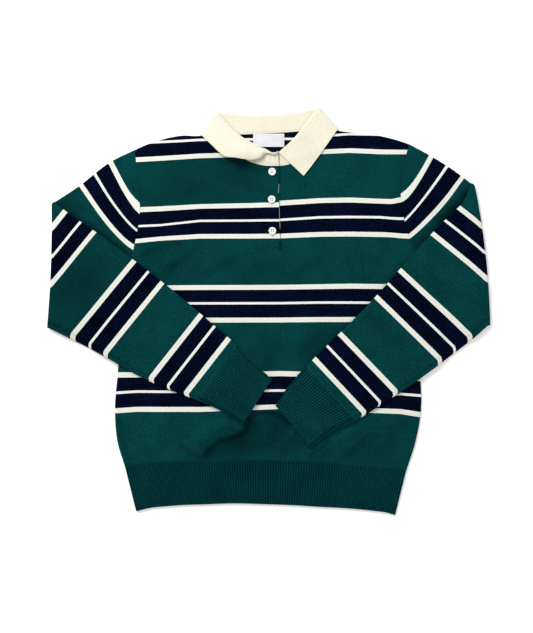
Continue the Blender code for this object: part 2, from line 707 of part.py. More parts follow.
def collar_crease(front, back, section):
    """The turn of the collar from its front to its back at one side of the neck."""
    crease = unit(np.subtract(section.edge, section.roll))
    outward = np.array([-crease[1], crease[0]])
    if outward[0] * section.edge[0] < 0:
        outward = -outward
    profiles = []
    for step in range(1, CREASE_STEPS):
        angle = math.pi * step / CREASE_STEPS
        radius = (front[:, 2] - back[:, 2]) / 2
        share = (1 - math.cos(angle)) / 2
        plan = (1 - share) * front[:, :2] + share * back[:, :2]
        plan = plan + (radius * math.sin(angle))[:, None] * outward
        level = (front[:, 2] + back[:, 2]) / 2 + radius * math.cos(angle)
        profiles.append(np.column_stack([plan, level]))
    return profiles


def collar_piece(front):
    """The collar in one length, from its right front end round the back to its left front end."""
    front_right = collar_front(COLLAR_FRONT_RIGHT, True, front)
    front_left = collar_front(COLLAR_FRONT_LEFT, False, front)
    back = collar_back()
    turn_right = collar_crease(front_right[-1], back[0], COLLAR_BACK[0])
    turn_left = collar_crease(front_left[-1], back[-1], COLLAR_BACK[-1])
    middle = np.array(front_right + turn_right + back + turn_left[::-1] + front_left[::-1])
    along = np.gradient(middle, axis=0)
    across = np.gradient(middle, axis=1)
    side = unit(np.cross(along, across)) * COLLAR_WALL / 2
    rows, columns = middle.shape[:2]
    outer = (middle + side).reshape(-1, 3)
    inner = (middle - side).reshape(-1, 3)
    points, faces = close_sheet(outer, inner, grid_faces(rows, columns))
    return add_piece("collar", points, faces, "cream_knit")


def strip(name, low_corner, high_corner, base, wall, finish, bulge=0, cells=(4, 5)):
    """A flat strip between two plan corners, its underside at base above the floor plus the lift there."""
    x = np.linspace(low_corner[0], high_corner[0], cells[0] + 1)
    y = np.linspace(low_corner[1], high_corner[1], cells[1] + 1)
    plan = np.array([(across, up) for up in y for across in x])
    from_middle = 2 * (plan[:, 0] - (x[0] + x[-1]) / 2) / (x[-1] - x[0])
    under = base + lift(plan) + bulge * (1 - from_middle**2)
    faces = grid_faces(len(y), len(x))
    points, closed = close_sheet(
        np.column_stack([plan, under + wall]), np.column_stack([plan, under]), faces
    )
    return add_piece(name, points, closed, finish)


def placket_pieces():
    edge = SLIT_TOP[0] + SLIT_HALF_WIDTH - 2 * SEAM_GAP
    base = KNIT_WALL + SEAM_GAP
    strip(
        "placket_underlap",
        (edge - UNDERLAP.width, UNDERLAP.low),
        (edge, UNDERLAP.high),
        base,
        KNIT_WALL,
        "green_knit",
    )
    shown = SLIT_TOP[0] - SLIT_HALF_WIDTH + FACING_SHOWS
    strip(
        "placket_facing",
        (shown - FACING.width, FACING.low),
        (shown, FACING.high),
        base + KNIT_WALL + SEAM_GAP,
        FACING_WALL,
        "cream_knit",
        cells=(2, 5),
    )


def label_piece():
    half = np.array(LABEL_SIZE) / 2
    centre = np.array(LABEL_CENTRE)
    base = KNIT_WALL + SEAM_GAP
    return strip(
        "neck_label",
        centre - half,
        centre + half,
        base,
        LABEL_WALL,
        "label",
        bulge=LABEL_BULGE,
        cells=(8, 3),
    )


def turned(profile, segments):
    """Points and faces of a profile of (radius, height) turned round Z; it starts and ends on the axis."""
    rings = []
    for radius, height in profile[1:-1]:
        angles = 2 * math.pi * np.arange(segments) / segments
        rings.append(
            np.column_stack([radius * np.cos(angles), radius * np.sin(angles), np.full(segments, height)])
        )
    points = np.concatenate([[(0, 0, profile[0][1])], *rings, [(0, 0, profile[-1][1])]])
    last = len(points) - 1
    faces = [[0, 1 + (k + 1) % segments, 1 + k] for k in range(segments)]
    for ring in range(len(rings) - 1):
        first = 1 + ring * segments
        for k in range(segments):
            after = (k + 1) % segments
            faces.append([first + k, first + after, first + segments + after, first + segments + k])
    first = 1 + (len(rings) - 1) * segments
    faces += [[first + k, first + (k + 1) % segments, last] for k in range(segments)]
    return points, faces


def button(name, place, placket):
    """A four-hole button with a raised rim, lying on the placket."""
    radius = BUTTON_DIAMETER / 2
    well = radius - BUTTON_RIM
    profile = [
        (0, 0),
        (radius - BUTTON_BEVEL, 0),
        (radius, BUTTON_BEVEL),
        (radius, BUTTON_THICKNESS - BUTTON_BEVEL),
        (radius - BUTTON_BEVEL, BUTTON_THICKNESS),
        (well + BUTTON_BEVEL, BUTTON_THICKNESS),
        (well, BUTTON_THICKNESS - BUTTON_DISH),
        (0, BUTTON_THICKNESS - BUTTON_DISH),
    ]
    around = 2 * math.pi * np.arange(BUTTON_SEGMENTS) / BUTTON_SEGMENTS
    rim = np.array(place) + radius * np.column_stack([np.cos(around), np.sin(around)])
    seat = np.array([*place, top_of(placket, rim).max() + SEAM_GAP])
    points, faces = turned(profile, BUTTON_SEGMENTS)
    piece = add_piece(name, points + seat, faces, "button")
    half = BUTTON_HOLE_SPACING / 2
    under = -BUTTON_THICKNESS
    over = 2 * BUTTON_THICKNESS
    hole = [(0, under), (BUTTON_HOLE_RADIUS, under), (BUTTON_HOLE_RADIUS, over), (0, over)]
    drills = []
    for across in (-half, half):
        for up in (-half, half):
            points, faces = turned(hole, BUTTON_HOLE_SEGMENTS)
            drills.append((points + seat + (across, up, 0), faces))
    all_points = np.concatenate([points for points, _ in drills])
    count = len(drills[0][0])
    all_faces = [[i + count * k for i in face] for k, (_, faces) in enumerate(drills) for face in faces]
    cutter = add_piece(name + "_holes", all_points, all_faces, "button")
    cutter.hide_render = True
    cutter.display_type = "WIRE"
    cut = piece.modifiers.new("holes", "BOOLEAN")
    cut.operation = "DIFFERENCE"
    cut.solver = "EXACT"
    cut.object = cutter
    return piece


def main():
    for obj in list(bpy.data.objects):
        bpy.data.objects.remove(obj)
    front_neck = [section.seam for section in reversed(COLLAR_FRONT_RIGHT[1:])]
    front_neck += [SLIT_TOP]
    front_neck += [section.seam for section in COLLAR_FRONT_LEFT[1:]]
    back_neck = [section.seam for section in COLLAR_BACK]
    body_panel("back", back_neck, lying=-1)
    front = body_panel("front", front_neck, lying=1, slit_at=len(COLLAR_FRONT_RIGHT) - 1)
    hem_rib("hem_rib_front", lying=1, ribs=HEM_RIBS)
    hem_rib("hem_rib_back", lying=-1, ribs=0)
    for which in SLEEVES:
        sleeve_tube("sleeve_" + which, which)
        cuff_tube("cuff_rib_" + which, which)
    collar_piece(front)
    placket_pieces()
    label_piece()
    for place, centre in BUTTONS.items():
        button("button_" + place, centre, front)


main()
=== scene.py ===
"""A striped long-sleeved sweater with a knitted collar, laid flat on white and seen from straight above.

Left and right are the wearer's. X runs across the sweater, Y up towards its collar and Z up off the floor.
Sizes are in millimetres up to the point where a piece becomes an object.
"""

import math
from collections import namedtuple

import bmesh
import bpy
import numpy as np
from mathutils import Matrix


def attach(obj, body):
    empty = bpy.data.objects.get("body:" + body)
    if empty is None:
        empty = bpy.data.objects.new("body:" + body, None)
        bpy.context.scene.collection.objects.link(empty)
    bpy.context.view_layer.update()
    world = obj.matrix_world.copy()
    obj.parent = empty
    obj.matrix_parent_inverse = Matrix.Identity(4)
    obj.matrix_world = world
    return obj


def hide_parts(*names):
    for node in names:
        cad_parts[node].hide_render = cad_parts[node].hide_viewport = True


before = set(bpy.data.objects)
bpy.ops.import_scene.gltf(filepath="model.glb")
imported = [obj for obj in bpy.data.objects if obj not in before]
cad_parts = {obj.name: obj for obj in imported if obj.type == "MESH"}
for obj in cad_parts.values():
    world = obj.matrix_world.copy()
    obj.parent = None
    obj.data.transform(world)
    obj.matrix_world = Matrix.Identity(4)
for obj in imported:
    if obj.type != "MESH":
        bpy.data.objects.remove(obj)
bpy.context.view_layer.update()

# Back panel
# A knitted panel of fine cotton jersey with yarn-dyed stripes. It lies on the floor, its wall turned up
# round a soft fold at each side and along the shoulders, and the other pieces are linked to its edges.
MM = 0.001
WALL = 1.6
SEAM_GAP = 0.3
FOLD_RADIUS = 2.0
QUARTER_TURN = FOLD_RADIUS * math.pi / 2
TWO_LAYERS = 2 * FOLD_RADIUS + SEAM_GAP

# An edge that turns through more degrees than this looks sharp
SHARP_ANGLE = 60

Side = namedtuple("Side", "seam_to_armpit armhole")
BODY_SIDES = {
    "right": Side(
        seam_to_armpit=[(-225, -236), (-234, -207), (-239, -150), (-235, -98), (-223.5, 38)],
        armhole=[(-223.5, 38), (-208, 106), (-200, 152), (-202, 190), (-208, 251)],
    ),
    "left": Side(
        seam_to_armpit=[(214, -244), (226, -207), (236, -150), (235, -98), (231, 49)],
        armhole=[(231, 49), (221, 104), (208, 150), (204, 205), (217, 260)],
    ),
}
HEM_SEAM = [(-225, -236), (-120, -230), (0, -229), (110, -234), (214, -244)]
SHOULDER_RIGHT = [(-208, 251), (-190, 259), (-168, 266.5), (-136, 273), (-104, 273)]
SLIT_TOP = (15.9, 225.5)
SHOULDER_LEFT = [(105, 280.5), (135, 277), (167, 273.5), (192, 268), (217, 260)]
BACK_NECK = [(-86.8, 279.9), (-49.6, 274.5), (-18, 275.6), (24.8, 277.6), (52.7, 279.9), (85.3, 284.9)]

# Where the back of the collar leaf lies under the body
LEAF_UNDER = [
    (-80, 304.5), (-50, 304), (-18, 302.5), (24.8, 304.5), (54, 309), (76.5, 311),
    (101.5, 284), (64, 263), (26, 254.5), (-19, 253), (-58, 258), (-100.5, 276.5),
]

# How far it lifts the panels, how far beyond its edge, and over what length they come down again
BACK_LIFT = 2.4
LIFT_MARGIN = 14
LIFT_FALL = 26

# Stripes, as the course where each begins after the top of a band, in millimetres of knitting
STRIPE_PERIOD = 135.0
STRIPE_REPEATS = 4
LAST_COURSE = STRIPE_REPEATS * STRIPE_PERIOD - 1
WIDE_STRIPE = 7.8
THIN_STRIPE = 3.8
LINE_COURSES = (0.0, 25.6, 51.2)
EVERY_LINE = [STRIPE_PERIOD * band + line for band in range(STRIPE_REPEATS) for line in LINE_COURSES]
Stripe = namedtuple("Stripe", "start colour grain")
GREEN = "043536"
NAVY = "03081c"
CREAM = "d0d1c7"
WHITE = "d4d4ce"
CREAM_LINE = "c8c9bd"
PALE_GRAIN = 0.12
GREEN_GRAIN = 1.0
NAVY_GRAIN = 2.3
STRIPES = [
    Stripe(0.0, CREAM, PALE_GRAIN),
    Stripe(3.4, CREAM_LINE, PALE_GRAIN),
    Stripe(4.4, CREAM, PALE_GRAIN),
    Stripe(WIDE_STRIPE, NAVY, NAVY_GRAIN),
    Stripe(27.6, WHITE, PALE_GRAIN),
    Stripe(27.6 + THIN_STRIPE, NAVY, NAVY_GRAIN),
    Stripe(51.2, CREAM, PALE_GRAIN),
    Stripe(54.6, CREAM_LINE, PALE_GRAIN),
    Stripe(55.6, CREAM, PALE_GRAIN),
    Stripe(51.2 + WIDE_STRIPE, GREEN, GREEN_GRAIN),
]

# Middle height of each stripe line at some places across the body, from the shoulders down
Across = namedtuple("Across", "x band_1 band_2 band_3 band_4")
BODY_LINES_RIGHT = [
    Across(-236, (290, 261, 234), (157.5, 131.5, 108), (37, 13, -13), (-98, -125.5, -153.5)),
    Across(-205, (290, 262, 235.5), (158, 132.5, 109.5), (37, 13, -13), (-98, -123.5, -151.3)),
    Across(-169, (290, 263.2, 237.5), (159.5, 134, 113.5), (37, 13, -13), (-98.5, -123.8, -151.3)),
    Across(-107, (291, 266, 241.6), (162.9, 141, 117), (37.3, 13.1, -13), (-99, -124, -151.5)),
    Across(15.9, (294, 268, 244), (165.5, 141.7, 117.1), (37.8, 13.4, -12.8), (-96, -122, -147.2)),
]
BODY_LINES_LEFT = [
    Across(15.9, (294, 268, 244), (168.3, 142.3, 117.3), (37.8, 13.4, -12.8), (-96, -122, -147.2)),
    Across(79, (296, 271.5, 247.5), (172.4, 146.4, 119.9), (38.7, 14.4, -12.1), (-97.5, -123.5, -149.5)),
    Across(125, (299, 275.3, 249.8), (173.3, 147, 120.3), (39.6, 14.3, -12), (-100, -126, -152)),
    Across(172, (301, 275, 247.6), (171.3, 146.6, 119.6), (39, 14, -12), (-101, -127, -153.5)),
    Across(190, (301, 274, 247.5), (170.8, 145.0, 119.0), (39, 14, -12), (-101.3, -127.2, -154.2)),
    Across(204, (301, 273, 247.5), (174.0, 144.2, 117.4), (39, 14, -12), (-101.5, -127.4, -154.7)),
    Across(236, (301, 272, 247), (176, 147, 116), (39, 14, -12), (-104, -129.8, -160)),
]


def smooth(value):
    """Rise evenly from 0 to 1 as value goes from 0 to 1."""
    value = np.clip(value, 0.0, 1.0)
    return value * value * (3.0 - 2.0 * value)


def curve(points, fractions, even=False):
    """Points of a smooth curve through points, at fractions of its length, or of their count where even."""
    points = np.asarray(points, float)
    steps = np.diff(points, axis=0).reshape(len(points) - 1, -1)
    runs = np.ones(len(steps)) if even else np.linalg.norm(steps, axis=1)
    knots = np.concatenate([[0.0], np.cumsum(runs)])
    slopes = np.gradient(points, knots, axis=0)
    at = np.asarray(fractions, float) * knots[-1]
    first = np.clip(np.searchsorted(knots, at, side="right") - 1, 0, len(runs) - 1)
    shape = (-1,) + (1,) * (points.ndim - 1)
    run = runs[first].reshape(shape)
    t = (at - knots[first]).reshape(shape) / run
    from_start = (2 * t**3 - 3 * t**2 + 1) * points[first] + (t**3 - 2 * t**2 + t) * run * slopes[first]
    to_end = (3 * t**2 - 2 * t**3) * points[first + 1] + (t**3 - t**2) * run * slopes[first + 1]
    return from_start + to_end


def length_of(points):
    """Length of the straight runs between points."""
    return float(np.linalg.norm(np.diff(np.asarray(points, float), axis=0), axis=1).sum())


def spaced(points, step):
    """Points of a smooth curve through points, about step apart."""
    count = max(2, int(round(length_of(points) / step)) + 1)
    return curve(points, np.linspace(0, 1, count))


def unit(vector):
    """A vector, or each of several, at length 1."""
    vector = np.asarray(vector, float)
    return vector / np.linalg.norm(vector, axis=-1, keepdims=True)


def distance_outside(points, outline):
    """How far each plan point lies outside a closed outline, or 0 inside it."""
    start = np.asarray(outline, float)
    end = np.roll(start, -1, axis=0)
    run = end - start
    nearest = np.full(len(points), np.inf)
    crossings = np.zeros(len(points), int)
    for a, b, r in zip(start, end, run):
        along = np.clip(((points - a) @ r) / (r @ r), 0, 1)
        nearest = np.minimum(nearest, np.linalg.norm(points - a - along[:, None] * r, axis=1))
        spans = (a[1] > points[:, 1]) != (b[1] > points[:, 1])
        rise = r[1] if r[1] else 1.0
        crossings += spans & (points[:, 0] < a[0] + r[0] * (points[:, 1] - a[1]) / rise)
    return np.where(crossings % 2 == 1, 0.0, nearest)


def body_outline():
    """Side, armhole and shoulder lines of the body, all the way round."""
    right = BODY_SIDES["right"]
    left = BODY_SIDES["left"]
    up_right = right.seam_to_armpit + right.armhole[1:] + SHOULDER_RIGHT[1:]
    down_left = SHOULDER_LEFT + left.armhole[-2::-1] + left.seam_to_armpit[-2::-1]
    return up_right + down_left


def lift(points):
    """How far the panels rise off the floor where the back of the collar leaf lies beneath them."""
    beyond = distance_outside(points, LEAF_UNDER) - LIFT_MARGIN
    return BACK_LIFT * (1 - smooth(beyond / LIFT_FALL))


def turn(run, radius, folded):
    """Inset and rise of a wall at a run from its edge, round a fold where folded is 1 and flat where 0."""
    angle = np.minimum(run / FOLD_RADIUS, math.pi / 2)
    past = np.maximum(run - QUARTER_TURN, 0)
    round_inset = FOLD_RADIUS - radius * np.cos(angle)
    flat_inset = np.minimum(run / QUARTER_TURN, 1) * FOLD_RADIUS
    return folded * round_inset + (1 - folded) * flat_inset + past, folded * np.sin(angle) + (1 - folded)


def coons(low, high, right, left, across, up):
    """A plan patch between four edge lines; across and up are the fractions of its columns and rows."""
    f = np.asarray(across)[None, :, None]
    s = np.asarray(up)[:, None, None]
    between_ends = (1 - s) * low[None] + s * high[None]
    between_sides = (1 - f) * right[:, None] + f * left[:, None]
    corners = (1 - s) * ((1 - f) * low[0] + f * low[-1]) + s * ((1 - f) * high[0] + f * high[-1])
    return between_ends + between_sides - corners


def grid_faces(rows, columns, wrap=False):
    """Quads of a grid of points, as an array of point numbers."""
    first = np.arange((rows - 1) * columns).reshape(rows - 1, columns)
    if not wrap:
        first = first[:, :-1]
    after = first - first % columns + (first % columns + 1) % columns
    return np.stack([first, after, after + columns, first + columns], axis=-1).reshape(-1, 4)


def closed_sheet(outer, inner, faces):
    """Two like-numbered surfaces and the walls that join them along every edge that only one face has."""
    count = len(outer)
    edges = np.concatenate([faces[:, [0, 1]], faces[:, [1, 2]], faces[:, [2, 3]], faces[:, [3, 0]]])
    edges = edges[edges[:, 0] != edges[:, 1]]
    _, place, uses = np.unique(np.sort(edges, axis=1), axis=0, return_index=True, return_counts=True)
    rim = edges[place[uses == 1]]
    walls = np.stack([rim[:, 1], rim[:, 0], count + rim[:, 0], count + rim[:, 1]], axis=1)
    return np.concatenate([outer, inner]), np.concatenate([faces, count + faces[:, ::-1], walls])


def linear(code):
    """A colour written as sRGB hex, as linear red, green, blue and alpha."""
    values = [int(code[i : i + 2], 16) / 255 for i in (0, 2, 4)]
    return (*[v / 12.92 if v <= 0.04045 else ((v + 0.055) / 1.055) ** 2.4 for v in values], 1.0)


def add_node(tree, kind, *inputs, **settings):
    """Add a node; each input is a value, a node whose first output it takes, a socket, or None."""
    made = tree.nodes.new(kind)
    for key, value in settings.items():
        setattr(made, key, value)
    for socket, value in zip(made.inputs, inputs):
        if isinstance(value, bpy.types.Node):
            value = value.outputs[0]
        if isinstance(value, bpy.types.NodeSocket):
            tree.links.new(value, socket)
        elif value is not None:
            socket.default_value = value
    return made


MATH = "ShaderNodeMath"
FULL_TURN = 2 * math.pi

# Cotton, polyester and paper bend light about as much as one another
IOR = 1.45


def new_material(name, roughness, specular):
    """A material with a Principled shader, and the shader."""
    material = bpy.data.materials.new(name)
    material.use_nodes = True
    shader = material.node_tree.nodes["Principled BSDF"]
    shader.inputs["Roughness"].default_value = roughness
    shader.inputs["IOR"].default_value = IOR
    shader.inputs["Specular IOR Level"].default_value = specular
    return material, shader


# The real stitches are about 0.8 by 0.6 mm, too fine to show, so they are drawn half as large again
WALE = 1.25
COURSE = 0.95
STITCH_RELIEF = 0.35
LOOP_HEIGHT = 0.4
WALE_VALLEY = -1.6
FIBRE_HEIGHT = 0.8
RELIEF_STRENGTH = 0.5
KNIT_SPECULAR = 0.02

# How much the dyed yarn varies, and over what length in millimetres: from one thick or thin yarn to the
# next, over the cloth, and from fibre to fibre. Fibres are finer than 0.1 mm, so they are drawn as 2 mm
# flecks. Detail is how many finer octaves each noise has.
STREAK = 0.5
STREAK_LENGTH = 9.0
STREAK_WIDTH = 2.0
MOTTLE = 0.65
MOTTLE_SIZE = 33.0
FIBRE = 1.6
FIBRE_SIZE = 2.1
FINE_DETAIL = 2.0
MOTTLE_DETAIL = 4.0
STITCH_SHADE = 0.12

# Painted shade looks fainter on pale yarn, which scatters light into its hollows, than on the dark stripes
PALE_PAINTED_SHADE = 0.2

# A stripe's edge steps from stitch to stitch
EDGE_SIZE = 1.6
EDGE_DETAIL = 1.0
EDGE_WANDER = 0.7


def knit_material(name, ground, stripes=(), grain=1.0, rib_shade=None, roughness=0.95):
    """Fine knit in one colour, or in stripes by the course attribute; grain is how uneven its dye looks."""
    material, shader = new_material(name, roughness, KNIT_SPECULAR)
    tree = material.node_tree
    course = add_node(tree, "ShaderNodeAttribute", attribute_name="course").outputs["Fac"]
    wale = add_node(tree, "ShaderNodeAttribute", attribute_name="wale").outputs["Fac"]
    place = add_node(tree, "ShaderNodeTexCoord").outputs["Object"]

    # Columns of small V shapes, the face of plain knitting
    column = add_node(tree, MATH, wale, 1 / WALE, operation="MULTIPLY")
    column = add_node(tree, MATH, column, operation="FRACT")
    beside = add_node(tree, MATH, add_node(tree, MATH, column, -0.5, operation="ADD"), operation="ABSOLUTE")
    row = add_node(tree, MATH, course, 1 / COURSE, beside, operation="MULTIPLY_ADD")
    loop = add_node(tree, MATH, add_node(tree, MATH, row, FULL_TURN, operation="MULTIPLY"), operation="SINE")
    valley = add_node(tree, MATH, beside, WALE_VALLEY, operation="MULTIPLY")
    height = add_node(tree, MATH, loop, LOOP_HEIGHT, valley, operation="MULTIPLY_ADD")

    if stripes:
        unevenness = add_node(tree, "ShaderNodeTexNoise", place, None, 1 / (EDGE_SIZE * MM), EDGE_DETAIL)
        middle = (WIDE_STRIPE - EDGE_WANDER) / 2
        wander = add_node(tree, MATH, unevenness, EDGE_WANDER, middle, operation="MULTIPLY_ADD")
        shifted = add_node(tree, MATH, course, wander, operation="ADD")
        shifted = add_node(tree, MATH, shifted, LAST_COURSE, operation="MINIMUM")
        periods = add_node(tree, MATH, shifted, 1 / STRIPE_PERIOD, operation="MULTIPLY")
        ramp = add_node(tree, "ShaderNodeValToRGB", add_node(tree, MATH, periods, operation="FRACT"))
        ramp.color_ramp.interpolation = "CONSTANT"
        ramp.color_ramp.elements.remove(ramp.color_ramp.elements[1])
        for k, stripe in enumerate(stripes):
            elements = ramp.color_ramp.elements
            stop = elements[0] if k == 0 else elements.new(stripe.start / STRIPE_PERIOD)
            stop.color = (*linear(stripe.colour)[:3], stripe.grain / NAVY_GRAIN)
        colour = ramp.outputs["Color"]
        grain = add_node(tree, MATH, ramp.outputs["Alpha"], NAVY_GRAIN, operation="MULTIPLY")
    else:
        colour = linear(ground)[:3]

    across = add_node(tree, MATH, wale, 1 / STREAK_LENGTH, operation="MULTIPLY")
    down = add_node(tree, MATH, course, 1 / STREAK_WIDTH, operation="MULTIPLY")
    along_yarn = add_node(tree, "ShaderNodeCombineXYZ", across, down)
    streak = add_node(tree, "ShaderNodeTexNoise", along_yarn, None, 1.0, FINE_DETAIL)
    mottle = add_node(tree, "ShaderNodeTexNoise", place, None, 1 / (MOTTLE_SIZE * MM), MOTTLE_DETAIL)
    fibre = add_node(tree, "ShaderNodeTexNoise", place, None, 1 / (FIBRE_SIZE * MM), FINE_DETAIL)
    offset = -(STREAK + MOTTLE + FIBRE) / 2
    uneven = add_node(tree, MATH, height, STITCH_SHADE, offset, operation="MULTIPLY_ADD")
    for noise, strength in ((streak, STREAK), (mottle, MOTTLE), (fibre, FIBRE)):
        uneven = add_node(tree, MATH, noise, strength, uneven, operation="MULTIPLY_ADD")
    light = add_node(tree, MATH, uneven, grain, 1.0, operation="MULTIPLY_ADD")

    # Shade painted into the colour from an attribute: darker in folds, creases and cast shadows, lighter
    # below 0
    hollow = add_node(tree, "ShaderNodeAttribute", attribute_name="hollow").outputs["Fac"]
    if stripes:
        shade_share = add_node(tree, MATH, grain, PALE_PAINTED_SHADE, operation="ADD")
        shade_share = add_node(tree, MATH, shade_share, 1.0, operation="MINIMUM")
        hollow = add_node(tree, MATH, hollow, shade_share, operation="MULTIPLY")
    unshaded_share = add_node(tree, MATH, 1.0, hollow, operation="SUBTRACT")
    light = add_node(tree, MATH, light, unshaded_share, operation="MULTIPLY")
    # Painted shade of the ribbing: dark in the valleys, light on the crests
    if rib_shade:
        in_valley, rise = rib_shade
        crest = add_node(tree, "ShaderNodeAttribute", attribute_name="rib").outputs["Fac"]
        shade = add_node(tree, MATH, crest, rise, in_valley, operation="MULTIPLY_ADD")
        light = add_node(tree, MATH, light, shade, operation="MULTIPLY")
    shaded = add_node(tree, "ShaderNodeVectorMath", colour, None, None, light, operation="SCALE")
    tree.links.new(shaded.outputs[0], shader.inputs["Base Color"])

    relief = add_node(tree, MATH, fibre, FIBRE_HEIGHT, height, operation="MULTIPLY_ADD")
    bump = add_node(tree, "ShaderNodeBump")
    bump.inputs["Strength"].default_value = RELIEF_STRENGTH
    bump.inputs["Distance"].default_value = STITCH_RELIEF * MM
    tree.links.new(relief.outputs[0], bump.inputs["Height"])
    tree.links.new(bump.outputs[0], shader.inputs["Normal"])
    return material


def placed(name, data):
    """A new object in the scene, at the origin."""
    made = bpy.data.objects.new(name, data)
    bpy.context.scene.collection.objects.link(made)
    return made


def set_attributes(mesh, **attributes):
    """Give each point of a mesh a float attribute for each named list."""
    for key, values in attributes.items():
        layer = mesh.attributes.new(key, "FLOAT", "POINT")
        layer.data.foreach_set("value", np.asarray(values, np.float32))


def new_piece(name, points, faces, material, **attributes):
    """Make one mesh object from points in millimetres, with a float attribute for each named list."""
    mesh = bpy.data.meshes.new(name)
    corners = [[i for k, i in enumerate(face) if i != face[k - 1]] for face in faces.tolist()]
    mesh.from_pydata((np.asarray(points) * MM).tolist(), [], corners)
    build = bmesh.new()
    build.from_mesh(mesh)
    bmesh.ops.recalc_face_normals(build, faces=build.faces)
    build.to_mesh(mesh)
    build.free()
    set_attributes(mesh, **attributes)
    mesh.materials.append(material)
    mesh.shade_smooth()
    mesh.set_sharp_from_angle(angle=math.radians(SHARP_ANGLE))
    return placed(name, mesh)


def body_course(points, left_of_slit):
    """Course of the body's knitting at plan points, rising from the shoulders to the hem."""
    course = np.zeros(len(points))
    for table, chosen in ((BODY_LINES_RIGHT, left_of_slit), (BODY_LINES_LEFT, ~left_of_slit)):
        places = np.array([row.x for row in table], float)
        lines = np.array([np.concatenate([row.band_1, row.band_2, row.band_3, row.band_4]) for row in table])
        x = np.clip(points[chosen, 0], places[0], places[-1])
        y = points[chosen, 1]
        heights = np.stack([np.interp(x, places, lines[:, k]) for k in range(lines.shape[1])], axis=1)
        found = EVERY_LINE[0] + heights[:, 0] - y
        for k, (line, after) in enumerate(zip(EVERY_LINE, EVERY_LINE[1:])):
            share = (heights[:, k] - y) / (heights[:, k] - heights[:, k + 1])
            found = np.where(share > 0, line + share * (after - line), found)
        below = heights[:, -1] - y
        course[chosen] = np.where(below > 0, EVERY_LINE[-1] + below, found)
    return course


def panel_edges(neck_lines, step):
    """The dense top line of a panel, how far each point is folded, and the numbers of the neck's corners."""
    neck_right = neck_lines[0][0]
    neck_left = neck_lines[-1][-1]
    parts = [spaced(SHOULDER_RIGHT + [neck_right], step)]
    parts += [spaced(line, step) for line in neck_lines]
    parts += [spaced([neck_left] + SHOULDER_LEFT, step)]
    starts = np.cumsum([0] + [len(part) - 1 for part in parts])
    high = np.concatenate([part[:-1] for part in parts] + [parts[-1][-1:]])
    turned = (high[:, 0] <= SHOULDER_RIGHT[-1][0]) | (high[:, 0] >= SHOULDER_LEFT[0][0])
    return high, turned.astype(float), starts[1:-1]


# Rows of the mesh round a folded edge, and rows over which that fold ends below the armpit
EDGE_ROWS = 4
ARMPIT_ROWS = 3

# How far to each side of the placket slit the mesh is drawn along it, and from how far below its end
STRAIGHT_WIDTH = 120
STRAIGHT_BELOW = 60
STRAIGHT_LENGTH = 50
SLIT_HALF_WIDTH = 0.3

# How far the slit's edge strays across the body at some heights
SLIT_WAVE = [
    (90, 0.4), (103, 0.9), (116, 1.6), (129, 1.2), (149, 0.1), (165, 0.2), (186, -1.2), (199, -0.6),
    (207, 0.5), (225, 0.0),
]


def slit_line(height):
    """Where the edge of the placket slit runs across the body at each height; it waves a little."""
    heights, waves = np.array(SLIT_WAVE, float).T
    return SLIT_TOP[0] + np.interp(height, heights, waves)


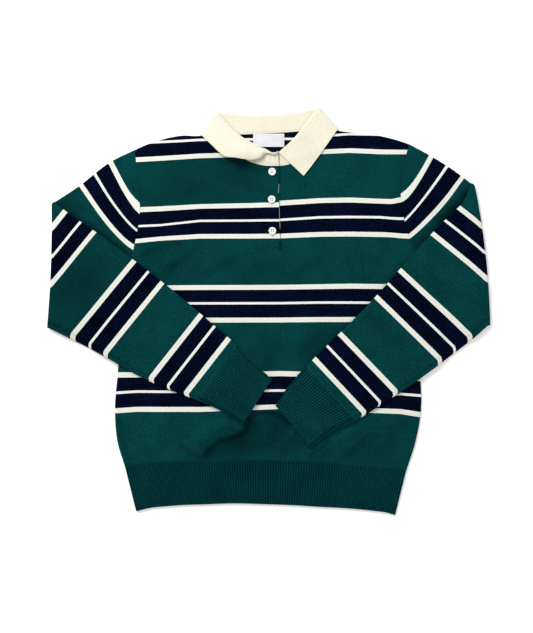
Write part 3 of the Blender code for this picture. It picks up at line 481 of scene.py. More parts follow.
def body_panel(neck_lines, lying, step, shape_extra, slit_end=None):
    """Outer and inner points, faces, plan and slit side of a body panel; shape_extra adds to its height."""
    high, folded_top, corners = panel_edges(neck_lines, step)
    across = (high[:, 0] - high[0, 0]) / (high[-1, 0] - high[0, 0])
    low = curve(HEM_SEAM, across)
    lower_count = int(length_of(BODY_SIDES["right"].seam_to_armpit) / step)
    upper_count = int(length_of(BODY_SIDES["right"].armhole) / step)
    sides = {}
    for which, side in BODY_SIDES.items():
        lower = curve(side.seam_to_armpit, np.linspace(0, 1, lower_count + 1))
        upper = curve(side.armhole, np.linspace(0, 1, upper_count + 1))
        sides[which] = np.concatenate([lower, upper[1:]])
    heights = sides["right"][:, 1]
    up = (heights - heights[0]) / (heights[-1] - heights[0])
    patch = coons(low, high, sides["right"], sides["left"], across, up)
    side_folded = 1 - smooth((np.arange(len(up)) - lower_count + ARMPIT_ROWS) / ARMPIT_ROWS)
    slit_column = None
    if slit_end is not None:
        slit_column = corners[1]
        slit_x = slit_line(patch[:, slit_column, 1])
        in_slit = smooth((patch[:, slit_column, 1] - slit_end + STRAIGHT_BELOW) / STRAIGHT_LENGTH)
        off_line = slit_x - patch[:, slit_column, 0]
        beside = 1 - smooth(np.abs(patch[:, :, 0] - slit_x[:, None]) / STRAIGHT_WIDTH)
        patch[:, :, 0] += (in_slit * off_line)[:, None] * beside
    row_heading = unit(patch[:, -1] - patch[:, 0])
    column_heading = unit(patch[0] - patch[-1])

    edge_runs = np.linspace(0, QUARTER_TURN, EDGE_ROWS)
    columns = [(0, run, 1) for run in edge_runs]
    columns += [(j, 0, 0) for j in range(1, len(high) - 1)]
    columns += [(len(high) - 1, run, -1) for run in edge_runs[::-1]]
    if slit_column is not None:
        slit_at = next(k for k, column in enumerate(columns) if column[0] == slit_column)
        columns.insert(slit_at + 1, columns[slit_at])
    number = np.array([column[0] for column in columns])
    run = np.array([column[1] for column in columns])
    inward = np.array([column[2] for column in columns], float)
    rows = list(range(len(up) - 1)) + [len(up) - 1] * len(edge_runs)
    top_runs = np.array([0.0] * (len(up) - 1) + list(edge_runs[::-1]))
    at_top = np.array([0.0] * (len(up) - 1) + [1.0] * len(edge_runs))
    left_of_slit = np.ones((len(rows), len(columns)), bool)
    layers = []
    for radius in (FOLD_RADIUS, FOLD_RADIUS - WALL):
        plan = patch[rows][:, number].copy()
        inset, rise = turn(run[None, :], radius, side_folded[rows][:, None])
        edge = np.abs(inward)[None, :]
        plan += (inward[None, :] * inset)[..., None] * row_heading[rows][:, None]
        rise = edge * rise + (1 - edge)
        top_inset, top_rise = turn(top_runs[:, None], radius, folded_top[number][None, :])
        plan += (at_top[:, None] * top_inset)[..., None] * column_heading[number][None, :]
        rise = rise * (at_top[:, None] * top_rise + 1 - at_top[:, None])
        if slit_column is not None:
            left_of_slit[:, slit_at + 1 :] = False
            open_here = plan[:, slit_at, 1] > slit_end
            plan[open_here, slit_at, 0] -= SLIT_HALF_WIDTH
            plan[open_here, slit_at + 1, 0] += SLIT_HALF_WIDTH
        flat = plan.reshape(-1, 2)
        level = TWO_LAYERS / 2 + lift(flat) + lying * (SEAM_GAP / 2 + radius * rise.reshape(-1))
        level += shape_extra(flat, left_of_slit.reshape(-1)) * (rise.reshape(-1) > 0.5)
        layers.append(np.column_stack([flat, level]))
    faces = grid_faces(len(rows), len(columns))
    if slit_column is not None:
        width = len(columns)
        faces = faces[faces[:, 0] % width != slit_at]
        merged = np.arange(len(rows) * width)
        shut = np.flatnonzero(~open_here) * width + slit_at
        merged[shut + 1] = shut
        faces = merged[faces]
        kept = np.unique(faces)
        renumber = np.zeros(len(merged), int)
        renumber[kept] = np.arange(len(kept))
        faces = renumber[faces]
        layers = [layer[kept] for layer in layers]
        left_of_slit = left_of_slit.reshape(-1)[kept]
    points, closed = closed_sheet(layers[0], layers[1], faces)
    return points, closed, np.tile(left_of_slit.reshape(-1), 2)


# Distance between the points of the mesh
BACK_STEP = 5.0

# Combed cotton jersey, knitted from dyed yarns: matt, with a faint fleck in its green and navy, crisp
# stripes and stitches that show as a fine grain
striped_jersey = knit_material("striped_cotton_jersey", GREEN, STRIPES)

points, faces, beside = body_panel([BACK_NECK], -1, BACK_STEP, lambda plan, side: 0.0)
back = new_piece(
    "back_panel", points, faces, striped_jersey, course=body_course(points[:, :2], beside), wale=points[:, 0]
)
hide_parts("back")
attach(back, "root")

# Front panel
# The same jersey, lying on the back panel, with a short slit at its neckline for the placket. Soft folds
# run across it where the laid sleeves have pushed the cloth together.
FRONT_STEP = 2.8
SLIT_END_Y = 100
NECK_RIGHT = [(-86.8, 279.9), (-75, 264), (-50, 245), (-32, 233), (-12, 226), SLIT_TOP]
NECK_LEFT = [SLIT_TOP, (31, 228), (46, 237), (60, 249), (74, 265), (85.3, 284.9)]
FLAP_RISE = 2.2
FLAP_WIDTH = 24
FLAP_FALL = 22
FLAP_START_BELOW = 8
FLAP_START_LENGTH = 16
BESIDE_SLIT_SHARE = 0.5
BESIDE_SLIT_LENGTH = 12

# Soft folds: middle, heading in degrees, half length, half width, height, and the shade painted over it,
# which below 0 is painted light
Fold = namedtuple("Fold", "x y heading length width height hollow")
# Folds of height 0 are painted shade or light alone, with no shape of their own
FRONT_FOLDS = [
    Fold(-84, -184, 30, 40, 11, 4.2, 0),
    Fold(-50, -172, 62, 16, 7, 2.0, 0),
    Fold(6, -176, -4, 44, 22, -0.5, 0.34),
    Fold(-14, -206, 8, 66, 22, -0.4, 0.24),
    Fold(28, -212, 50, 22, 9, 0, 0.1),
    Fold(34, -188, 60, 16, 5, 1.8, -0.1),
    Fold(112, -196, 40, 32, 8, 2.8, -0.06),
    Fold(134, -210, 42, 34, 8, 0, 0.26),
    Fold(90, -216, 40, 22, 7, 0, 0.24),
    Fold(164, -186, 34, 26, 9, 1.6, -0.05),
    Fold(186, -200, 60, 26, 8, 0, 0.16),
    Fold(168, -196, 0, 74, 44, 0, 0.1),
    Fold(-172, -176, 70, 42, 18, 1.6, -0.07),
    Fold(-206, -190, 78, 30, 9, 1.0, -0.05),
    Fold(-150, -202, 20, 40, 9, 0, 0.12),
    Fold(-196, -218, 10, 26, 9, 0, 0.1),
    Fold(-158, 74, 42, 26, 8, 1.8, -0.06),
    Fold(-144, 72, 34, 30, 8, 0, 0.28),
    Fold(-118, 78, 34, 30, 9, 1.2, -0.05),
    Fold(-76, 70, 30, 36, 8, 0, 0.22),
    Fold(-50, 84, 22, 40, 10, 1.0, 0),
    Fold(60, 72, 40, 32, 10, 0, 0.12),
    Fold(150, 66, -38, 30, 10, 1.4, 0),
    Fold(136, 58, -38, 30, 8, 0, 0.16),
    Fold(160, 84, -20, 26, 8, 0, 0.16),
    Fold(-40, -70, 30, 16, 8, 1.4, 0),
    Fold(2, -70, 78, 34, 12, 0, 0.3),
    Fold(40, -60, -60, 24, 8, 1.0, 0),
    # Painted shadow that the wearer's right collar leaf casts on the front, and a broad soft one round it
    Fold(-38, 227, -16, 34, 8, 0, 0.5),
    Fold(-44, 208, -18, 44, 17, 0, 0.2),
    Fold(120, 206, 10, 50, 20, 0.8, 0),
    Fold(-128, 196, 0, 90, 52, 0, 0.24),
    Fold(-150, 84, 30, 60, 34, 0, 0.16),
    Fold(-14, 62, 0, 50, 24, 0, 0.16),
    Fold(72, -46, 45, 40, 16, 0, 0.35),
    Fold(-52, -214, 20, 44, 18, 0, 0.26),
]

# Narrow lines of painted shade, with no shape of their own: the line that each follows, its half width, and
# how dark it looks. Most paint creases; the last two paint the shadows that the forearms' edges cast on the
# front
ShadeLine = namedtuple("ShadeLine", "path width hollow")
FRONT_SHADE_LINES = [
    ShadeLine(
        [
            (-24, -154), (-28, -163), (-32.6, -176.5), (-41, -187.4), (-56.6, -195), (-76, -200.6),
            (-87.6, -208.3), (-99, -222), (-103.5, -236),
        ],
        5.4,
        0.44,
    ),
    ShadeLine(
        [
            (-18, -158), (-25, -178), (-36, -192), (-52, -201), (-72, -208), (-84, -217), (-95, -230),
            (-99, -242),
        ],
        10,
        0.22,
    ),
    ShadeLine([(-28, -163), (-20, -157.5), (-8, -156), (6, -157.5), (22, -165), (38, -178)], 4.2, 0.48),
    ShadeLine([(-141, -208), (-130, -213), (-118, -222), (-104, -228)], 4.6, 0.3),
    ShadeLine([(-231, -158), (-230, -185), (-224, -212), (-216, -236)], 3.4, 0.2),
    ShadeLine([(60, -226), (74, -217), (88, -205), (96, -196)], 3.6, 0.3),
    ShadeLine([(17.4, 108), (18.4, 103), (18.6, 99), (17.4, 94)], 2.2, 0.5),
    ShadeLine([(-203, 83), (-181, 95.5), (-156.5, 104), (-130, 106)], 6, 0.28),
    ShadeLine([(-212, 82), (-164, 45), (-48, -52)], 4.5, 0.24),
    ShadeLine([(226, 92), (168, 26.5), (56, -86)], 8, 0.26),
]
SHADE_LINE_STEP = 3.0
SHADE_LINE_TAPER = 0.12
DEEPEST_PAINTED_SHADE = 0.85
HEM_MARGIN = 16

# Where the forearms and cuffs lie on the front, so that no fold stands up under them
UNDER_FOREARMS = [
    [
        (-355, 185), (-265, 121), (-208, 79), (-164, 45), (-51, -50), (-28, -76), (5, -104),
        (-41, -175), (-113, -137), (-185, -108), (-256, -69), (-345, -30),
    ],
    [
        (330, 205), (274, 145), (222, 88), (168, 26.5), (59, -83), (32, -112), (10, -145),
        (65, -212), (136.5, -168), (202, -126), (268, -79), (345, -25),
    ],
]
FOLD_MARGIN = 14


def flap_rise(points, left_of_slit):
    """Extra height of the front beside the slit, where its top edge lies on the underlap."""
    x = points[:, 0]
    y = points[:, 1]
    flap = 1 - smooth((SLIT_TOP[0] - FLAP_WIDTH - x) / FLAP_FALL)
    beside = 1 - smooth((x - SLIT_TOP[0]) / FLAP_FALL)
    start = smooth((y - SLIT_END_Y + FLAP_START_BELOW) / FLAP_START_LENGTH)
    fall = BESIDE_SLIT_SHARE * (1 - smooth((y - SLIT_END_Y) / BESIDE_SLIT_LENGTH))
    return FLAP_RISE * np.where(left_of_slit, flap * start, beside * np.minimum(start, fall))


def folds(points, table, which="height"):
    """Summed height of soft folds at plan points, or the shade painted over them there."""
    height = np.zeros(len(points))
    for fold in table:
        heading = math.radians(fold.heading)
        x = points[:, 0] - fold.x
        y = points[:, 1] - fold.y
        along = (x * math.cos(heading) + y * math.sin(heading)) / fold.length
        across = (y * math.cos(heading) - x * math.sin(heading)) / fold.width
        height += getattr(fold, which) * np.exp(-(along**2) - across**2)
    return height


def painted_shade_lines(points, table):
    """Painted shade of narrow lines at plan points, creases and cast shadows; each fades out towards its two
    ends.
    """
    hollow = np.zeros(len(points))
    for crease in table:
        path = spaced(crease.path, SHADE_LINE_STEP)
        nearest = np.full(len(points), np.inf)
        place = np.zeros(len(points))
        for k, (start, run) in enumerate(zip(path, np.diff(path, axis=0))):
            along = np.clip(((points - start) @ run) / (run @ run), 0, 1)
            off = np.linalg.norm(points - start - along[:, None] * run, axis=1)
            place = np.where(off < nearest, (k + along) / (len(path) - 1), place)
            nearest = np.minimum(nearest, off)
        ends = smooth(np.minimum(place, 1 - place) / SHADE_LINE_TAPER)
        hollow += crease.hollow * ends * np.exp(-((nearest / crease.width) ** 2))
    return hollow


def front_shape(plan, left_of_slit):
    """Height of the front's folds and of its flap over the underlap."""
    clear = np.min([distance_outside(plan, outline) for outline in UNDER_FOREARMS], axis=0)
    over_hem = plan[:, 1] - np.interp(plan[:, 0], *zip(*HEM_SEAM))
    free = smooth(clear / FOLD_MARGIN) * smooth(over_hem / HEM_MARGIN)
    return flap_rise(plan, left_of_slit) + folds(plan, FRONT_FOLDS) * free


points, faces, beside = body_panel([NECK_RIGHT, NECK_LEFT], 1, FRONT_STEP, front_shape, SLIT_END_Y)
# Shade painted on the front: in its folds and creases, under the collar leaf and beside the forearms
hollow = folds(points[:, :2], FRONT_FOLDS, "hollow") + painted_shade_lines(points[:, :2], FRONT_SHADE_LINES)
front = new_piece(
    "front_panel", points, faces, striped_jersey,
    course=body_course(points[:, :2], beside), wale=points[:, 0],
    hollow=np.minimum(hollow, DEEPEST_PAINTED_SHADE),
)
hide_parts("front")
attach(front, "root")

# Placket underlap and facing
# The underlap is a strip of the same jersey behind the slit, which carries the buttons. The facing is a
# narrow cream tape behind the slit's upper edge; a hair of it peeks out.
UNDERLAP_WIDTH = 23
UNDERLAP_LOW = 108
PLACKET_HIGH = 221
FACING_WIDTH = 8
FACING_LOW = 128
FACING_WALL = 0.6
FACING_STEP = 1.6
CREAM_KNIT = "d1cdba"
PALE_KNIT_GRAIN = 0.2

# How far the tape peeks out of the slit, or stays behind it, at some heights
FACING_SHOWS = [
    (128, 0.5), (135, 0.8), (148, 0.7), (160, 0.8), (166, -0.6), (180, -0.6), (186, 0.9), (197, 0.8),
    (201, -0.6), (221, -0.6),
]


def strip(low_corner, high_corner, base, wall, bulge=0.0, step=2.0, edge=None):
    """A flat strip between two plan corners, its underside at base; edge moves its high end at each y."""
    columns = max(3, int((high_corner[0] - low_corner[0]) / step) + 1)
    rows = max(3, int((high_corner[1] - low_corner[1]) / step) + 1)
    x, y = np.meshgrid(
        np.linspace(low_corner[0], high_corner[0], columns), np.linspace(low_corner[1], high_corner[1], rows)
    )
    plan = np.column_stack([x.reshape(-1), y.reshape(-1)])
    if edge is not None:
        share = (plan[:, 0] - low_corner[0]) / (high_corner[0] - low_corner[0])
        plan[:, 0] += share * (edge(plan[:, 1]) - high_corner[0])
    from_middle = (2 * plan[:, 0] - low_corner[0] - high_corner[0]) / (high_corner[0] - low_corner[0])
    under = base + lift(plan) + bulge * (1 - from_middle**2)
    return closed_sheet(
        np.column_stack([plan, under + wall]), np.column_stack([plan, under]), grid_faces(rows, columns)
    )


def facing_edge(height):
    """Where the tape ends across the body at each height."""
    heights, shows = np.array(FACING_SHOWS).T
    return slit_line(height) - SLIT_HALF_WIDTH + np.interp(height, heights, shows)


underlap_edge = SLIT_TOP[0] + SLIT_HALF_WIDTH - 2 * SEAM_GAP
points, faces = strip(
    (underlap_edge - UNDERLAP_WIDTH, UNDERLAP_LOW), (underlap_edge, PLACKET_HIGH), WALL + SEAM_GAP, WALL
)
underlap = new_piece(
    "placket_underlap_strip", points, faces, striped_jersey,
    course=body_course(points[:, :2], np.zeros(len(points), bool)), wale=points[:, 0],
)
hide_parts("placket_underlap")
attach(underlap, "root")

# Undyed flat-knitted cotton, firmer and closer than the jersey: warm, matt and even, with a faint fleck
cream_cotton = knit_material("cream_flat_knit_cotton", CREAM_KNIT, grain=PALE_KNIT_GRAIN, roughness=0.9)
points, faces = strip(
    (SLIT_TOP[0] - FACING_WIDTH, FACING_LOW),
    (SLIT_TOP[0], PLACKET_HIGH),
    2 * (WALL + SEAM_GAP),
    FACING_WALL,
    step=FACING_STEP,
    edge=facing_edge,
)
facing = new_piece(
    "placket_facing_tape", points, faces, cream_cotton, course=-points[:, 1], wale=points[:, 0]
)
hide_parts("placket_facing")
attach(facing, "root")

# Hem rib
# A deep band of one-and-one rib linked to the body along the hem seam, front and back. Its ribs stand up
# and down and its wall turns round a fold at each side.
HEM_EDGE = [
    (-206.5, -310), (-184.5, -304.6), (-156.6, -301.8), (-131.8, -300), (-107, -299.3), (-54, -297.5),
    (0, -299), (40, -300.5), (79, -302.9), (118, -305), (157, -308.5), (187, -313), (196, -316),
]
HEM_ROWS = 22
HEM_RIBS = 110
COLUMNS_PER_RIB = 6
RIB_DEPTH = 0.75
RIB_START = 0.05
RIB_GREEN = "032e30"

# Painted shade of the ribs: how light a rib's valley is painted, and how much lighter its crest
HEM_RIB_SHADE = (0.4, 0.8)

# Broad areas of painted light and shade on the band
HEM_PAINTED_SHADE = [
    Fold(-155, -252, 88, 40, 22, 0, 0.04),
    Fold(-40, -240, 0, 70, 12, 0, 0.05),
    Fold(-196, -262, 78, 34, 12, 0, -0.12),
    Fold(-205, -246, 0, 50, 26, 0, -0.1),
    Fold(156, -258, 0, 80, 40, 0, -0.16),
]


def new_tree(name, *inputs):
    """A geometry tree that takes a mesh and named floats, and the sockets that it starts from."""
    tree = bpy.data.node_groups.new(name, "GeometryNodeTree")
    face = tree.interface
    face.new_socket("Geometry", in_out="INPUT", socket_type="NodeSocketGeometry")
    for key in inputs:
        face.new_socket(key, in_out="INPUT", socket_type="NodeSocketFloat")
    face.new_socket("Geometry", in_out="OUTPUT", socket_type="NodeSocketGeometry")
    return tree, *tree.nodes.new("NodeGroupInput").outputs[: len(inputs) + 1]


def finished(tree, geometry, material):
    """End a geometry tree: its result is made real and given a material."""
    real = add_node(tree, "GeometryNodeRealizeInstances", geometry)
    done = add_node(tree, "GeometryNodeSetMaterial", real)
    done.inputs["Material"].default_value = material
    add_node(tree, "NodeGroupOutput", done)
    return tree


def rib_tree(material):
    """Geometry nodes that press valleys between the ribs of a band, by its rib_run and outside attributes."""
    tree, geometry, ribs, depth = new_tree("knit_ribs", "Ribs", "Depth")
    run, outside, fade = [
        add_node(tree, "GeometryNodeInputNamedAttribute", name, data_type="FLOAT").outputs["Attribute"]
        for name in ("rib_run", "outside", "rib_fade")
    ]
    turns = add_node(tree, MATH, run, ribs, operation="MULTIPLY")
    angle = add_node(tree, MATH, turns, FULL_TURN, operation="MULTIPLY")
    wave = add_node(tree, MATH, angle, operation="COSINE")
    valley = add_node(tree, MATH, wave, 0.5, 0.5, operation="MULTIPLY_ADD")
    faded = add_node(tree, MATH, valley, fade, operation="MULTIPLY")
    pressed = add_node(tree, MATH, faded, outside, operation="MULTIPLY")
    pressed = add_node(tree, MATH, pressed, depth, operation="MULTIPLY")
    against = add_node(tree, MATH, pressed, -1.0, operation="MULTIPLY")
    facing = add_node(tree, "GeometryNodeInputNormal").outputs["Normal"]
    inward = add_node(tree, "ShaderNodeVectorMath", facing, None, None, against, operation="SCALE")
    moved = add_node(tree, "GeometryNodeSetPosition", geometry)
    tree.links.new(inward.outputs[0], moved.inputs["Offset"])
    # Each point's share of crest is kept as the rib attribute, from which the material paints valley shade
    # and crest light
    crest = add_node(tree, "GeometryNodeStoreNamedAttribute", moved, data_type="FLOAT", domain="POINT")
    crest.inputs["Name"].default_value = "rib"
    level = add_node(tree, MATH, 1.0, faded, operation="SUBTRACT")
    tree.links.new(level.outputs[0], crest.inputs["Value"])
    return finished(tree, crest, material)


def applied(piece):
    """Keep what a piece's modifiers give as its plain mesh."""
    whole = bpy.data.meshes.new_from_object(piece.evaluated_get(bpy.context.evaluated_depsgraph_get()))
    piece.modifiers.clear()
    piece.data = whole
    return piece


def baked(piece, tree, **inputs):
    """Run a geometry tree on a piece with named inputs, and keep its result."""
    run = piece.modifiers.new(tree.name, "NODES")
    run.node_group = tree
    for item in tree.interface.items_tree:
        if item.in_out == "INPUT" and item.name in inputs:
            run[item.identifier] = inputs[item.name]
    return applied(piece)


def hem_band(lying):
    """Outer and inner grids of the hem band, with how far across and down it each point lies."""
    seam = np.array(HEM_SEAM, float) - (0, SEAM_GAP)
    run = np.linspace(0, 1, HEM_RIBS * COLUMNS_PER_RIB + 1)
    down = np.linspace(0, 1, HEM_ROWS)
    layers = []
    for radius in (FOLD_RADIUS, FOLD_RADIUS - WALL):
        grid = []
        for row in down:
            ends = (1 - row) * seam[[0, -1]] + row * np.array([HEM_EDGE[0], HEM_EDGE[-1]], float)
            width = np.linalg.norm(ends[1] - ends[0])
            unrolled = width - 2 * FOLD_RADIUS + 2 * QUARTER_TURN
            inset, rise = turn(np.minimum(run, 1 - run) * unrolled, radius, 1.0)
            fraction = np.where(run < 0.5, inset, width - inset) / width
            plan = (1 - row) * curve(seam, fraction) + row * curve(HEM_EDGE, fraction)
            level = TWO_LAYERS / 2 + lying * (SEAM_GAP / 2 + radius * rise)
            grid.append(np.column_stack([plan, level]))
        layers.append(np.array(grid))
    return layers, np.tile(run, HEM_ROWS), np.repeat(down, len(run))


def rib_marks(run, down):
    """Attributes that place each point of a band's two layers in its ribbing."""
    fade = np.tile(smooth(down / RIB_START), 2)
    return {"rib_run": np.tile(run, 2), "rib_fade": fade, "outside": np.repeat([1.0, 0.0], len(run))}


# The same dyed cotton knitted in one-and-one rib: matt, with light painted on the crests and shade painted
# nearly black in the valleys
hem_rib_cotton = knit_material("hem_rib_cotton", RIB_GREEN, rib_shade=HEM_RIB_SHADE)
ribs = rib_tree(hem_rib_cotton)
for name, lying, node in (("hem_band_front", 1, "hem_rib_front"), ("hem_band_back", -1, "hem_rib_back")):
    (outer, inner), run, down = hem_band(lying)
    rows, columns = outer.shape[:2]
    points, faces = closed_sheet(outer.reshape(-1, 3), inner.reshape(-1, 3), grid_faces(rows, columns))
    band = new_piece(
        name, points, faces, hem_rib_cotton,
        course=-points[:, 1], wale=points[:, 0], hollow=folds(points[:, :2], HEM_PAINTED_SHADE, "hollow"),
        **rib_marks(run, down),
    )
    baked(band, ribs, Ribs=float(HEM_RIBS), Depth=RIB_DEPTH * MM)
    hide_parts(node)
    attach(band, "root")

# Sleeves
# Long tapered tubes of striped jersey, set into the armholes. Each lies flat, is folded once at the
# elbow, and brings its forearm over the front of the body.
SLEEVE_RADIUS = TWO_LAYERS / 2
OVER_BASE = TWO_LAYERS + SEAM_GAP
ELBOW_AXIS = TWO_LAYERS + SEAM_GAP / 2
ELBOW_NEUTRAL = ELBOW_AXIS - TWO_LAYERS / 2
ELBOW_TURN = math.pi * ELBOW_NEUTRAL
ELBOW_BOW_REACH = 90
DRAPE_START = 20
DRAPE_LENGTH = 30
TURN_STEPS = 7
SLEEVE_COLUMNS = 62
UPPER_ARM_STEPS = 46
ELBOW_STEPS = 10
FOREARM_STEPS = 90
FOREARM_PUFF = 1.2
PUFF_START = 30
PUFF_POWER = 4

# Rails are a tube's two edges in plan. Elbow_bow is how far the fold bulges out at its middle, corner how
# far its upper end leans back for each millimetre outwards, and bearing the way the sleeve points. Slant,
# drop and lines say where the stripes run: how much they lean at each place along the sleeve, how far and
# over what reach they drop into the armhole, and each line's place. Folds hold the soft folds and the shade
# painted over them. The last field holds the shadow painted on the upper arm beside the forearm that lies
# on it.
Rails = namedtuple("Rails", "upper lower")
Sleeve = namedtuple(
    "Sleeve", "upper_arm forearm cuff elbow_bow corner bearing slant drop lines folds under_fold"
)
SLEEVES = {
    "right": Sleeve(
        upper_arm=Rails(
            upper=[(-208, 251), (-243, 234), (-296, 194), (-332.5, 170)],
            lower=[(-223.5, 38), (-280, 7), (-339.6, -26)],
        ),
        forearm=Rails(
            upper=[(-332.5, 170), (-313, 154), (-265, 121), (-208, 79), (-164, 45), (-51, -50)],
            lower=[(-339.6, -26), (-306, -43), (-256, -69), (-185, -108), (-113, -137)],
        ),
        cuff=Rails(
            upper=[(-51, -50), (-42, -62), (-28, -76), (5, -104)],
            lower=[(-113, -137), (-77, -153), (-41, -175)],
        ),
        elbow_bow=-2.5,
        corner=0.66,
        bearing=-145.5,
        slant=((79, 0.126), (105, 0.05), (129, 0), (240, -0.03), (500, 0.012)),
        drop=((79, 7.4, 24), (105, 15, 54), (129, 14.3, 75)),
        lines=((79, 105, 129), (204, 232.5, 259), (336, 364, 392), (470.5, 498, 527.5)),
        folds=[
            Fold(-59, -139, -33, 34, 10, 0, 0.18),
            Fold(-150, -20, 65, 45, 13, 1.4, 0),
            Fold(-132, -34, 62, 40, 9, 0, 0.16),
            Fold(-300, 60, 75, 50, 16, 1.2, 0),
            Fold(-282, 40, 75, 45, 11, 0, 0.1),
            Fold(-225, -20, 50, 45, 14, 1.0, 0),
            Fold(-250, 190, -50, 34, 10, 1.0, 0),
            Fold(-205, 90, 80, 34, 9, 0, 0.16),
            Fold(-320, 40, 85, 130, 110, 0, 0.34),
        ],
        under_fold=[
            ShadeLine([(-336, 172), (-313, 156), (-265, 123), (-208, 81)], 5, 0.42),
            ShadeLine([(-330, 168), (-306, 166), (-284, 160)], 5, 0.2),
        ],
    ),
    "left": Sleeve(
        upper_arm=Rails(
            upper=[(217, 260), (252, 241), (281, 223), (314, 199)],
            lower=[(231, 49), (285, 16), (338.5, -22)],
        ),
        forearm=Rails(
            upper=[(314, 199), (298, 169), (274, 145), (222, 88), (168, 26.5), (59, -83)],
            lower=[(338.5, -22), (313, -44.5), (268, -79), (202, -126), (136.5, -168)],
        ),
        cuff=Rails(
            upper=[(59, -83), (52, -90), (32, -112), (10, -145)],
            lower=[(136.5, -168), (96, -187), (65, -212)],
        ),
        elbow_bow=5,
        corner=0.7,
        bearing=-35.0,
        slant=((76.5, 0.116), (100, 0.035), (123.6, -0.035), (200, -0.034), (500, 0.079)),
        drop=((76.5, 10.4, 30), (100, 12.3, 77), (123.6, 12.3, 77)),
        lines=((76.5, 100, 123.6), (189, 218.5, 247), (324, 352.5, 381), (463, 491, 520)),
        folds=[
            Fold(103, -124, 40, 26, 16, 0, 0.14),
            Fold(262, 176, 52, 30, 10, 1.2, 0),
            Fold(286, 44, -62, 45, 14, 1.2, 0),
            Fold(268, 30, -62, 40, 9, 0, 0.14),
            Fold(196, -20, -50, 44, 13, 1.2, 0),
            Fold(176, -30, -48, 40, 9, 0, 0.12),
            Fold(320, 90, 84, 50, 12, 1.0, 0),
            Fold(216, 84, 85, 30, 9, 0, 0.16),
            Fold(60, -156, -50, 34, 18, 0, -0.18),
        ],
        under_fold=[
            ShadeLine([(318, 196), (308, 184), (298, 169), (274, 147), (222, 90)], 9, 0.44),
            ShadeLine([(312, 190), (302, 172), (284, 156), (262, 132)], 14, 0.3),
        ],
    ),
}
SLANT_CENTRE = 268
CORNER_POWER = 4

# The underarm seam: its share of the way across, how far the stripes turn past it, and its groove, with shade
# painted in it
UNDERARM_SEAM = 0.045
SEAM_TURN = 0.45
SEAM_WIDTH = 2.2
SEAM_SINK = 0.35
SEAM_PAINTED_SHADE = 0.35


def tube_marks(fractions, radius):
    """Marks round a flattened tube: across from the lower rail (0) to the upper (1), inset and height."""
    angles = np.radians(np.linspace(90, -90, TURN_STEPS))
    inset = SLEEVE_RADIUS - radius * np.cos(angles)
    height = SLEEVE_RADIUS + radius * np.sin(angles)
    upper_turn = np.column_stack([np.ones(TURN_STEPS), -inset, height])
    lower_turn = np.column_stack([np.zeros(TURN_STEPS), inset, height])[::-1]
    plain = np.zeros(len(fractions))
    below = np.column_stack([fractions[::-1], plain, plain + SLEEVE_RADIUS - radius])
    above = np.column_stack([fractions, plain, plain + SLEEVE_RADIUS + radius])
    return np.concatenate([upper_turn, below, lower_turn, above])


def puff(crosswise):
    """How far a tube's top swells, from nothing at its two edges."""
    return FOREARM_PUFF * (1 - (2 * crosswise - 1) ** PUFF_POWER)


def across_rails(upper, lower, marks):
    """Plan points of one station, each mark placed between the two rails."""
    span = upper - lower
    return lower + marks[:, :1] * span + marks[:, 1:2] * unit(span)


def sleeve_stations(sleeve, outward_sign):
    """Unfolded rails of a sleeve, with each station's nearness to the armhole, and the elbow's frame."""
    hinge = np.array(sleeve.upper_arm.lower[-1], float)
    along = unit(np.array(sleeve.upper_arm.upper[-1], float) - hinge)
    outward = outward_sign * np.array([along[1], -along[0]])
    stations = []
    steps = np.linspace(0, 1, UPPER_ARM_STEPS + 1)
    uppers = curve(sleeve.upper_arm.upper, steps)
    lowers = curve(sleeve.upper_arm.lower, steps)
    for step, upper, lower in zip(steps, uppers, lowers):
        gap = np.array([outward_sign * SEAM_GAP * (1 - step), 0])
        stations.append((upper + gap, lower + gap, 1 - step))
    for step in range(1, ELBOW_STEPS + 1):
        beyond = outward * ELBOW_TURN * step / ELBOW_STEPS
        stations.append((uppers[-1] + beyond, lowers[-1] + beyond, 0))
    steps = np.linspace(0, 1, FOREARM_STEPS + 1)[1:]
    for upper, lower in zip(curve(sleeve.forearm.upper, steps), curve(sleeve.forearm.lower, steps)):
        opened = []
        for point in (upper, lower):
            inward = (hinge - point) @ outward
            opened.append(hinge + (point - hinge) @ along * along + (inward + ELBOW_TURN) * outward)
        stations.append((opened[0], opened[1], 0))
    return stations, hinge, along, outward


def sleeve_course(sleeve, flat, past_armhole, side):
    """Course and wale of a sleeve's knitting at points of its unfolded plan, so far from its armhole."""
    bearing = math.radians(sleeve.bearing)
    down = np.array([math.cos(bearing), math.sin(bearing)])
    up = side * np.array([-down[1], down[0]])
    place = flat @ down
    wale = flat @ up
    place = place + np.interp(place, *zip(*sleeve.slant)) * (wale - SLANT_CENTRE)
    marks, drops, reaches = np.array(sleeve.drop, float).T
    near_armhole = np.clip(1 - past_armhole / np.interp(place, marks, reaches), 0, 1)
    place = place + np.interp(place, marks, drops) * near_armhole**2
    measured = [line for band in sleeve.lines for line in band]
    course = np.interp(place, measured, EVERY_LINE)
    course = np.where(place < measured[0], EVERY_LINE[0] + place - measured[0], course)
    return np.where(place > measured[-1], EVERY_LINE[-1] + place - measured[-1], course), wale


